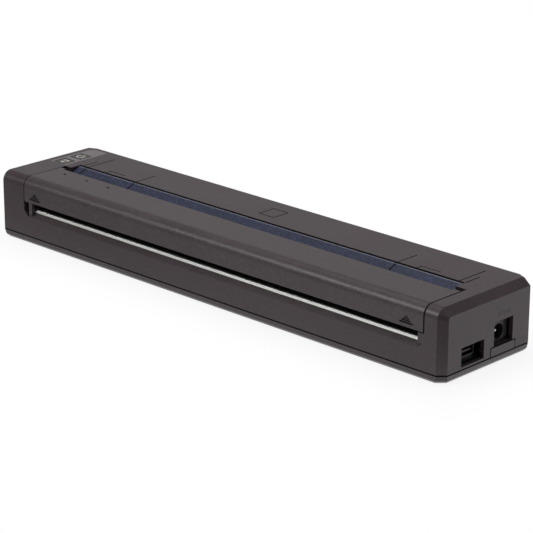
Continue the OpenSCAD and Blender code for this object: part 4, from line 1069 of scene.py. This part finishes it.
def tube(points: np.ndarray, capped: bool = True) -> Shell:
    """Closes a grid of points into a tube.

    The point at row i and column j joins row i + 1 and column j + 1 in four-sided faces, and the
    columns wrap round.

    Args:
        points: Array of rows, columns and X, Y, Z; the columns run anticlockwise seen from the
            far end of the path.
        capped: True closes each end row with one flat face, and False the rows into a ring.

    Returns:
        The points, and the faces as arrays of point numbers.
    """
    rows, columns, _ = points.shape
    index = np.arange(rows * columns).reshape(rows, columns)
    faces = [grid_faces(np.pad(index, ((0, int(not capped)), (0, 1)), mode="wrap"))]
    if capped:
        faces.append(np.stack([index[0, ::-1], index[-1]]))
    return points.reshape(-1, 3), faces


def piece(name: str, shells: Sequence[Shell], finish: Finish) -> bpy.types.Object:
    """Makes one object at the origin from closed shells.

    Args:
        name: The piece's name.
        shells: Points and faces of each shell.
        finish: Its finish.

    Returns:
        The object.
    """
    rows, count = [], 0
    for points, faces in shells:
        for block in faces:
            rows.extend((block + count).tolist())
        count += len(points)
    mesh = bpy.data.meshes.new(name)
    mesh.from_pydata(np.concatenate([points for points, _ in shells]).tolist(), [], rows)
    mesh.validate()
    mesh.materials.append(finish.material())
    return linked(name, mesh)


def carried_profile(path: np.ndarray, side: np.ndarray, up: np.ndarray, profile: np.ndarray) -> np.ndarray:
    """Carries a profile along a path.

    Point (i, j) is path[i] + profile[j, 0] * side[i] + profile[j, 1] * up[i].

    Args:
        path: Points of the path.
        side: Unit vector across the path at each point.
        up: Unit vector away from the surface at each point.
        profile: Points of the profile, across and up.

    Returns:
        Array of path points, profile points and X, Y, Z.
    """
    across = profile[None, :, :1] * side[:, None, :]
    return path[:, None, :] + across + profile[None, :, 1:] * up[:, None, :]


@dataclass(frozen=True)
class PrintedStroke:
    """A flat stroke of ink on a face, as a thin ridge with a rounded top."""

    width: float
    height: float = 0.03 * MM
    sunk: float = 0.02 * MM

    def profile(self) -> np.ndarray:
        """A low cushion: half the width times cos, the height times the root of sin.

        Returns:
            Points of the profile, across and up.
        """
        turn = np.linspace(0.0, np.pi, 7)
        half = self.width / 2
        top = np.stack([np.cos(turn) * half, np.sqrt(np.sin(turn).clip(0.0)) * self.height], axis=-1)
        return np.concatenate([top, [[-half, -self.sunk], [half, -self.sunk]]])

    def draw(self, path: np.ndarray, normal: np.ndarray, closed: bool = False) -> Shell:
        """Lays the stroke along a path on a face.

        Args:
            path: Points on the face, in order.
            normal: The face's outward normal.
            closed: True joins the last point to the first.

        Returns:
            The stroke's shell.
        """
        if closed:
            along = np.roll(path, -1, axis=0) - np.roll(path, 1, axis=0)
        else:
            along = np.gradient(path, axis=0)
        along /= np.linalg.norm(along, axis=1, keepdims=True)
        up = np.broadcast_to(normal, path.shape)
        return tube(carried_profile(path, np.cross(along, up), up, self.profile()), not closed)


def arc(centre: np.ndarray, radius: float, limits: Span, first: np.ndarray, second: np.ndarray,
        steps: int, closed: bool = False) -> np.ndarray:
    """Points of an arc: centre + radius (cos a first + sin a second).

    Args:
        centre: Middle of the arc.
        radius: Its radius.
        limits: First and last angle in degrees.
        first: Unit vector of angle 0.
        second: Unit vector of angle 90.
        steps: Number of points.
        closed: True leaves out the last point, which is the first one.

    Returns:
        Array of points.
    """
    angles = np.radians(np.linspace(*limits, steps, endpoint=not closed))[:, None]
    return centre + radius * (np.cos(angles) * first + np.sin(angles) * second)


def straight(start: np.ndarray, end: np.ndarray, steps: int = 6) -> np.ndarray:
    """Points of a straight line, evenly spaced from start to end."""
    share = np.linspace(0.0, 1.0, steps)[:, None]
    return (1.0 - share) * start + share * end


def smooth(made: bpy.types.Object, angle: float = 35.0) -> None:
    """Shades a piece smooth, with edges sharper than the angle kept."""
    made.data.shade_smooth()
    made.data.set_sharp_from_angle(angle=math.radians(angle))


CASE = MouldedPlastic(
    "case plastic", srgb(49, 37, 41), srgb(69, 56, 60), roughness=0.4, pitch_mm=0.7, depth_mm=0.05,
    wear_and_sheen=0.12, gaps=GapShade.CASE,
)
BASE = replace(CASE, name="base plastic", roughness=0.36, depth_mm=0.03)
COVER = replace(
    CASE, name="cover plastic", colour=srgb(56, 47, 50), light=srgb(76, 66, 69), pitch_mm=0.9,
    depth_mm=0.085,
)
GUIDE = MouldedPlastic("guide plastic", srgb(60, 53, 56), srgb(78, 71, 74), wear_and_sheen=0.0, dust=0.0)
JACK = replace(GUIDE, name="jack plastic", colour=srgb(40, 36, 38), light=srgb(58, 53, 55), roughness=0.4)
METAL_SHEET = StreakedMetal(
    "zinc plated sheet", srgb(186, 190, 192), srgb(140, 144, 147), roughness=0.34, length_mm=6.0,
    spangle=0.4,
)
METAL_SHAFT = StreakedMetal(
    "ground shaft steel", srgb(200, 201, 202), srgb(150, 151, 153), roughness=0.2, along=Axis.Y,
    length_mm=2.0, streaks_mm=0.05,
)
BOARD = CircuitBoard("circuit board", srgb(12, 30, 24), srgb(20, 44, 34), srgb(204, 168, 96))


@dataclass
class Case:
    """Upper and lower housing with the battery door, moulded in one grade of plastic."""

    case: Finish = CASE
    base: Finish = BASE

    def build(self) -> None:
        """Dresses the housings and the door."""
        dress(self.case, "upper_housing", "battery_door")
        dress(self.base, "lower_housing")


@dataclass
class PaperPath:
    """Release cover, blue inlet ramp, ribbed exit guide and tear bar."""

    cover: Finish = COVER
    ramp: Finish = RampPlastic(
        "blue ramp plastic", srgb(18, 23, 46), srgb(50, 57, 86), roughness=0.5, pitch_mm=0.8,
        depth_mm=0.05, speckle=0.9, wear_and_sheen=0.0, dust=0.05, scratches=0.3, shine=0.35,
    )
    blade: Finish = SteelStripPaintedShade(
        "tear bar steel", srgb(248, 248, 245), srgb(240, 240, 237), roughness=0.52, length_mm=30.0,
        streaks_mm=0.3,
    )

    def build(self) -> None:
        """Dresses the pieces that the paper passes."""
        dress(self.cover, "release_cover")
        dress(self.ramp, "inlet_ramp")
        dress(GUIDE, "exit_guide")
        dress(self.blade, "tear_bar")


@dataclass
class Keypad:
    """Inlaid panel with two square keys, their icons, and the switches below."""

    panel: Finish = MouldedPlastic(
        "panel plastic", srgb(106, 100, 102), srgb(124, 118, 120), pitch_mm=0.4, wear_and_sheen=0.0,
        gaps=GapShade.KEYS,
    )
    key: Finish = MouldedPlastic(
        "key plastic", srgb(62, 56, 58), srgb(80, 74, 76), roughness=0.44, pitch_mm=0.3, wear_and_sheen=0.0,
        gaps=GapShade.KEYS,
    )
    ink: Finish = PadInk("icon ink", srgb(206, 203, 190), srgb(84, 79, 80))
    stroke: PrintedStroke = PrintedStroke(0.42 * MM)
    ring_r: float = 1.85 * MM
    ring_limits: Span = (128.0, 412.0)
    bar: Span = (0.35 * MM, 2.3 * MM)
    page_w: float = 2.6 * MM
    page_l: float = 3.2 * MM
    page_open: float = 0.1 * MM
    arrow: Span = (0.5 * MM, 2.0 * MM)
    barb: float = 0.95 * MM

    def key_top(self, node: str) -> np.ndarray:
        """Middle of a key's top."""
        low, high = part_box(node)
        return np.array([(low.x + high.x) / 2, (low.y + high.y) / 2, high.z])

    def icon(self, name: str, lines: Sequence[np.ndarray]) -> bpy.types.Object:
        """Prints lines on a face that looks up."""
        return piece(name, [self.stroke.draw(line, UP) for line in lines], self.ink)

    def power_icon(self) -> bpy.types.Object:
        """A ring that is open at the back, with a short bar in the gap.

        Returns:
            The icon as one piece.
        """
        middle = self.key_top("power_button")
        ring = arc(middle, self.ring_r, self.ring_limits, RIGHT, BACK, 44)
        near, far = self.bar
        return self.icon("power_icon", [ring, straight(middle + near * BACK, middle + far * BACK)])

    def feed_icon(self) -> bpy.types.Object:
        """A sheet's outline with an arrow that leaves it towards the front.

        Returns:
            The icon as one piece.
        """
        middle = self.key_top("feed_button")
        half_w, half_l = self.page_w / 2, self.page_l / 2
        low = -self.page_open
        places = ((-half_w, low), (-half_w, half_l), (half_w, half_l), (half_w, low))
        corners = [middle + x * RIGHT + y * BACK for x, y in places]
        lines = [straight(a, b) for a, b in zip(corners[:-1], corners[1:])]
        behind, before = self.arrow
        tip = middle - before * BACK
        lines.append(straight(middle + behind * BACK, tip))
        lines.extend(straight(tip, tip + self.barb * (side * RIGHT + BACK)) for side in (-1, 1))
        return self.icon("feed_icon", lines)

    def build(self) -> None:
        """Dresses the panel and keys, and prints the icons on them."""
        dress(self.panel, "keypad_panel")
        dress(self.key, "power_button", "feed_button")
        dress(METAL_SHEET, "key_switches")
        dress(BOARD, "key_board")
        for icon, body in ((self.power_icon(), "power_key"), (self.feed_icon(), "feed_key")):
            smooth(icon)
            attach(icon, body)
            log.info("printed %s on %s", icon.name, body)


@dataclass
class StatusLights:
    """Three light pipes in the cover, on their strip board."""

    lens: Finish = SmokedLens("smoked lens", srgb(34, 33, 32))

    def build(self) -> None:
        """Dresses the lenses and their board."""
        dress(self.lens, "power_light_lens", "data_light_lens", "status_light_lens")
        dress(BOARD, "led_board")


@dataclass
class PolarityMark:
    """Row of three small rings over the power socket that show its poles.

    The left ring holds a minus and the right one a plus. The middle one is open towards the right
    ring, and a line joins its middle to that ring.
    """

    # Near-black strokes: painted shade in the recessed mark.
    ink: Finish = PadInk("recessed mark", srgb(14, 10, 12), srgb(26, 22, 24))
    stroke: PrintedStroke = PrintedStroke(0.3 * MM, 0.015 * MM)
    face_x: float = 127.5 * MM
    middle_y: float = 8.6 * MM
    middle_z: float = 20.2 * MM
    pitch: float = 2.9 * MM
    ring_r: float = 0.85 * MM
    open_limits: Span = (40.0, 320.0)

    def build(self) -> None:
        """Draws the rings and their signs on the end face."""
        reach = self.ring_r * 0.5
        shells = []
        for place in (-1, 0, 1):
            whole = place != 0
            middle = np.array([self.face_x, self.middle_y + place * self.pitch, self.middle_z])
            limits = (0.0, 360.0) if whole else self.open_limits
            ring = arc(middle, self.ring_r, limits, BACK, UP, 32, whole)
            shells.append(self.stroke.draw(ring, RIGHT, whole))
            lines = []
            if whole:
                lines.append(straight(middle - reach * BACK, middle + reach * BACK))
            if place > 0:
                lines.append(straight(middle - reach * UP, middle + reach * UP))
            else:
                start = middle + self.ring_r * BACK if whole else middle
                lines.append(straight(start, middle + (self.pitch - self.ring_r) * BACK))
            shells.extend(self.stroke.draw(line, RIGHT) for line in lines)
        mark = piece("polarity_mark", shells, self.ink)
        smooth(mark)
        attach(mark, "housing")
        log.info("drew %s", mark.name)


@dataclass
class Sockets:
    """Data socket and power socket in the right end."""

    # A dark metal tone for the socket shell.
    shell: Finish = StreakedMetal(
        "blackened socket shell", srgb(74, 70, 72), srgb(44, 41, 43), roughness=0.4, length_mm=3.0,
    )

    def build(self) -> None:
        """Dresses both sockets and the pin."""
        dress(self.shell, "usb_socket")
        dress(JACK, "dc_jack")
        dress(METAL_SHAFT, "dc_jack_pin")
        PolarityMark().build()


@dataclass
class HeadSprings:
    """Coil springs under the print head, which stand for the plain tubes of the CAD model."""

    wire_r: float = 0.24 * MM
    turns: int = 6
    steps: int = 24
    sides: int = 8
    closed_share: float = 0.12
    apart: float = 5 * MM

    def coil(self, middle: np.ndarray, radius: float, low: float, high: float) -> Shell:
        """Makes one spring: a wire round the helix (r cos t, r sin t, rise t), with closed end turns.

        Args:
            middle: X and Y of its axis.
            radius: Radius of the wire's centreline.
            low: Z of its foot.
            high: Z of its top.

        Returns:
            The spring's shell.
        """
        turn = np.linspace(0.0, 2 * np.pi * self.turns, self.turns * self.steps + 1)
        share = turn / turn[-1]
        wire = self.wire_r / (high - low)
        rise = np.clip((share - self.closed_share) / (1 - 2 * self.closed_share), 0.0, 1.0)
        rise = rise * (1 - 4 * wire) + (share - rise) * 2 * wire + wire
        out = np.stack([np.cos(turn), np.sin(turn), np.zeros_like(turn)], axis=-1)
        path = np.array([*middle, low]) + radius * out + (rise * (high - low))[:, None] * UP
        angle = np.linspace(0.0, 2 * np.pi, self.sides, endpoint=False)
        ring = self.wire_r * np.stack([np.cos(angle), np.sin(angle)], axis=-1)
        return tube(carried_profile(path, out, np.broadcast_to(UP, out.shape), ring))

    def build(self) -> None:
        """Makes the springs at the places of the CAD tubes, hides the tubes and attaches the springs to
        the housing.
        """
        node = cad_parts["head_springs"]
        points = np.empty(len(node.data.vertices) * 3)
        node.data.vertices.foreach_get("co", points)
        points = points.reshape(-1, 3)
        low, high = points.min(axis=0), points.max(axis=0)
        radius = (high[1] - low[1]) / 2 - self.wire_r
        xs = np.unique(np.round(points[:, 0], 4))
        groups = np.split(xs, np.where(np.diff(xs) > self.apart)[0] + 1)
        middle_y = (low[1] + high[1]) / 2
        middles = [np.array([(group.min() + group.max()) / 2, middle_y]) for group in groups]
        coils = [self.coil(middle, radius, low[2], high[2]) for middle in middles]
        springs = piece("head_coil_springs", coils, METAL_SHAFT)
        smooth(springs, 60.0)
        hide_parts("head_springs")
        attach(springs, "housing")
        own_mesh(springs)
        log.info("wound %d springs", len(middles))


@dataclass
class Mechanism:
    """Side plates, print head, roller, gear train and motor."""

    rubber: Finish = GroundRubber("roller rubber", srgb(38, 37, 37), srgb(62, 60, 58))
    gear: Finish = MouldedAcetal("gear plastic", srgb(226, 222, 208), srgb(196, 188, 166))
    aluminium: Finish = StreakedMetal(
        "extruded aluminium", srgb(206, 208, 210), srgb(168, 170, 173), roughness=0.36, length_mm=40.0,
    )
    can: Finish = StreakedMetal(
        "plated motor can", srgb(178, 180, 182), srgb(132, 134, 137), roughness=0.28, length_mm=3.0,
        spangle=0.15,
    )
    brass: Finish = StreakedMetal(
        "turned brass", srgb(222, 190, 112), srgb(180, 146, 78), roughness=0.24, along=Axis.Y,
        length_mm=1.5,
    )
    screw: Finish = StreakedMetal(
        "blackened screw steel", srgb(92, 92, 95), srgb(58, 58, 61), roughness=0.36, length_mm=0.5,
    )
    heating_line: float = 6.0 * MM
    driver_cover: float = 3.0 * MM

    def build(self) -> None:
        """Dresses the moving and the fixed metal and plastic parts."""
        dress(METAL_SHEET, "left_side_plate", "right_side_plate", "head_stay")
        dress(METAL_SHEET, "chassis_screws", "board_screws", "motor_screws")
        dress(METAL_SHAFT, "cover_hinge_pins", "platen_shaft", "idler_axle", "reduction_axle")
        dress(METAL_SHAFT, "motor_shaft", "sensor_lever_pin")
        dress(self.rubber, "platen_rubber")
        dress(self.gear, "platen_gear", "platen_bushes", "idler_gear", "reduction_gear")
        dress(self.aluminium, "head_heatsink")
        dress(self.can, "motor")
        dress(self.brass, "motor_pinion")
        dress(self.screw, "case_screws", "gear_retaining_rings")
        low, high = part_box("print_head")
        glaze = PrintHeadGlaze(
            "print head glaze", srgb(214, 208, 190), srgb(58, 42, 34), srgb(30, 30, 31),
            line_y=float(low.y) + self.heating_line, cover_y=float(high.y) - self.driver_cover,
            front_y=float(low.y),
        )
        dress(glaze, "print_head")
        HeadSprings().build()


@dataclass
class Electronics:
    """Main board, its chips, the flat cable, the paper sensor and the battery."""

    chip: Finish = MouldedPlastic(
        "chip plastic", srgb(30, 30, 31), srgb(48, 48, 49), roughness=0.55, pitch_mm=0.12, depth_mm=0.006,
        wear_and_sheen=0.0, dust=0.0,
    )
    film: Finish = FlexFilm("cable film", srgb(190, 128, 46), srgb(216, 150, 84))
    wrap: Finish = ShrinkWrap("battery wrap", srgb(34, 38, 48), srgb(48, 53, 64))
    gold: Finish = StreakedMetal(
        "gold plate", srgb(236, 198, 110), srgb(204, 160, 78), roughness=0.2, length_mm=1.5,
    )

    def build(self) -> None:
        """Dresses the electric parts."""
        dress(BOARD, "main_board")
        dress(self.chip, "board_components", "paper_sensor")
        dress(self.film, "head_flex_cable")
        dress(self.wrap, "battery_pack")
        dress(JACK, "battery_connector")
        dress(self.gold, "battery_contacts")
        dress(GUIDE, "paper_sensor_lever")


@dataclass(frozen=True)
class Lamp:
    """A square soft lamp that looks at the object."""

    name: str
    place: Point
    side: float
    watts: float

    def build(self) -> None:
        """Hangs the lamp at its place."""
        data = bpy.data.lights.new(self.name, "AREA")
        data.shape = "SQUARE"
        data.size = self.side
        data.energy = self.watts
        made = linked(self.name, data)
        made.location = self.place
        made.rotation_euler = (-Vector(self.place)).to_track_quat("-Z", "Y").to_euler()


@dataclass
class Studio:
    """Pale floor, soft lamps and the camera at the photograph's place."""

    camera_place: Point = (625.57 * MM, -639.09 * MM, 324.82 * MM)
    right: Point = (0.719282, 0.694712, 0.002945)
    down: Point = (0.233055, -0.237299, -0.943067)
    ahead: Point = (-0.654461, 0.679017, -0.332591)
    focal_px: float = 2282.08
    image_px: float = 533.0
    sensor_mm: float = 36.0
    shift: Span = (0.0024, -0.0007)
    seen_depth: Span = (0.05, 50.0)
    floor_half: float = 3.0
    floor_rows: int = 13
    floor_colour: Colour = (0.86, 0.86, 0.86)
    white_near: float = 0.87
    fade: Span = (0.004, 0.03)
    glow_left: float = 0.42
    glow_right: float = 0.85
    glow_beyond: float = 0.35
    sky_rim: float = 0.5
    sky_over: float = 1.5
    sky_level: float = 0.1
    lamps: tuple[Lamp, ...] = (
        Lamp("top softbox", (-0.2, 0.15, 1.5), 0.8, 4.5),
        Lamp("front softbox", (-0.7, -0.95, 0.75), 0.4, 5.0),
    )

    def floor_finish(self) -> bpy.types.Material:
        """Pale ground with the object's shadow, white where it is far, dimmer in gloss before the case.

        Returns:
            The floor's material.
        """
        made = bpy.data.materials.new("pale floor")
        t = fresh_tree(made)
        matt = t.node("BsdfDiffuse")
        bright = t.node("Emission")
        path = t.node("LightPath")
        glossy = path.outputs["Is Glossy Ray"]
        across, deep, _ = t.parts(t.place())
        inner = t.span(across, -0.2, 0.1, self.glow_left, self.glow_right)
        beyond = t.span(across, 0.13, 0.16, 1.0, self.glow_beyond)
        front = t.span(deep, -0.06, 0.0, t.product(inner, beyond), 1.0)
        t.feed(matt, Color=self.floor_colour)
        t.feed(bright, Color=WHITE, Strength=t.minus(1.0, t.product(glossy, t.minus(1.0, front))))
        half_x, half_y, _ = Mould().half_size
        beside = t.minus(t.math("ABSOLUTE", across), half_x)
        outside = t.most(beside, t.minus(t.math("ABSOLUTE", deep), half_y))
        far = t.span(outside, *self.fade, self.white_near, 1.0)
        seen = t.most(path.outputs["Is Camera Ray"], path.outputs["Is Transmission Ray"])
        mixed = t.blend(t.most(t.product(seen, far), glossy), matt, bright)
        t.feed(t.node("OutputMaterial"), Surface=mixed)
        return made

    def floor(self) -> None:
        """A wide square floor: an even grid of points at Z = 0."""
        side = np.linspace(-self.floor_half, self.floor_half, self.floor_rows)
        across, deep = np.meshgrid(side, side)
        points = np.stack([across, deep, np.zeros_like(across)], axis=-1).reshape(-1, 3)
        index = np.arange(len(points)).reshape(across.shape)
        mesh = bpy.data.meshes.new("floor")
        mesh.from_pydata(points.tolist(), [], grid_faces(index).tolist())
        mesh.materials.append(self.floor_finish())
        made = linked("floor", mesh)

    def world(self) -> None:
        """Bright near the horizon behind the object and overhead, dim between; white to the camera."""
        world = bpy.data.worlds.new("studio")
        bpy.context.scene.world = world
        t = fresh_tree(world)
        _, deep, height = t.parts(t.node("TexCoord").outputs["Generated"])
        rim = t.product(t.span(height, 0.37, 0.5, self.sky_rim, 0.0), t.span(deep, -0.1, 0.3))
        over = t.span(height, 0.74, 0.9, 0.0, self.sky_over)
        soft, white = t.node("Background"), t.node("Background")
        t.feed(soft, Color=WHITE, Strength=t.plus(rim, over, self.sky_level))
        t.feed(white, Color=WHITE)
        mixed = t.blend(t.node("LightPath").outputs["Is Camera Ray"], soft, white)
        t.feed(t.node("OutputWorld"), Surface=mixed)

    def camera(self) -> None:
        """Puts the camera where the photograph was taken, with its lens and frame."""
        data = bpy.data.cameras.new("camera")
        data.sensor_fit = "HORIZONTAL"
        data.sensor_width = self.sensor_mm
        data.lens = self.focal_px * self.sensor_mm / self.image_px
        data.shift_x, data.shift_y = self.shift
        data.clip_start, data.clip_end = self.seen_depth
        made = linked("camera", data)
        turn = Matrix((Vector(self.right), -Vector(self.down), -Vector(self.ahead))).transposed()
        made.matrix_world = Matrix.Translation(Vector(self.camera_place)) @ turn.to_4x4()
        bpy.context.scene.camera = made

    def build(self) -> None:
        """Sets up the camera, the floor, the world and the lamps."""
        self.camera()
        self.floor()
        self.world()
        for lamp in self.lamps:
            lamp.build()
        bpy.context.scene.view_settings.view_transform = "Standard"


def main() -> None:
    """Builds the studio and each sub-assembly in order."""
    logging.basicConfig(level=logging.INFO, format="%(message)s")
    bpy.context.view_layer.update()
    for kind in (Studio, Case, PaperPath, Keypad, StatusLights, Sockets, Mechanism, Electronics):
        kind().build()
        log.info("built %s", kind.__name__)


if __name__ == "__main__":
    main()
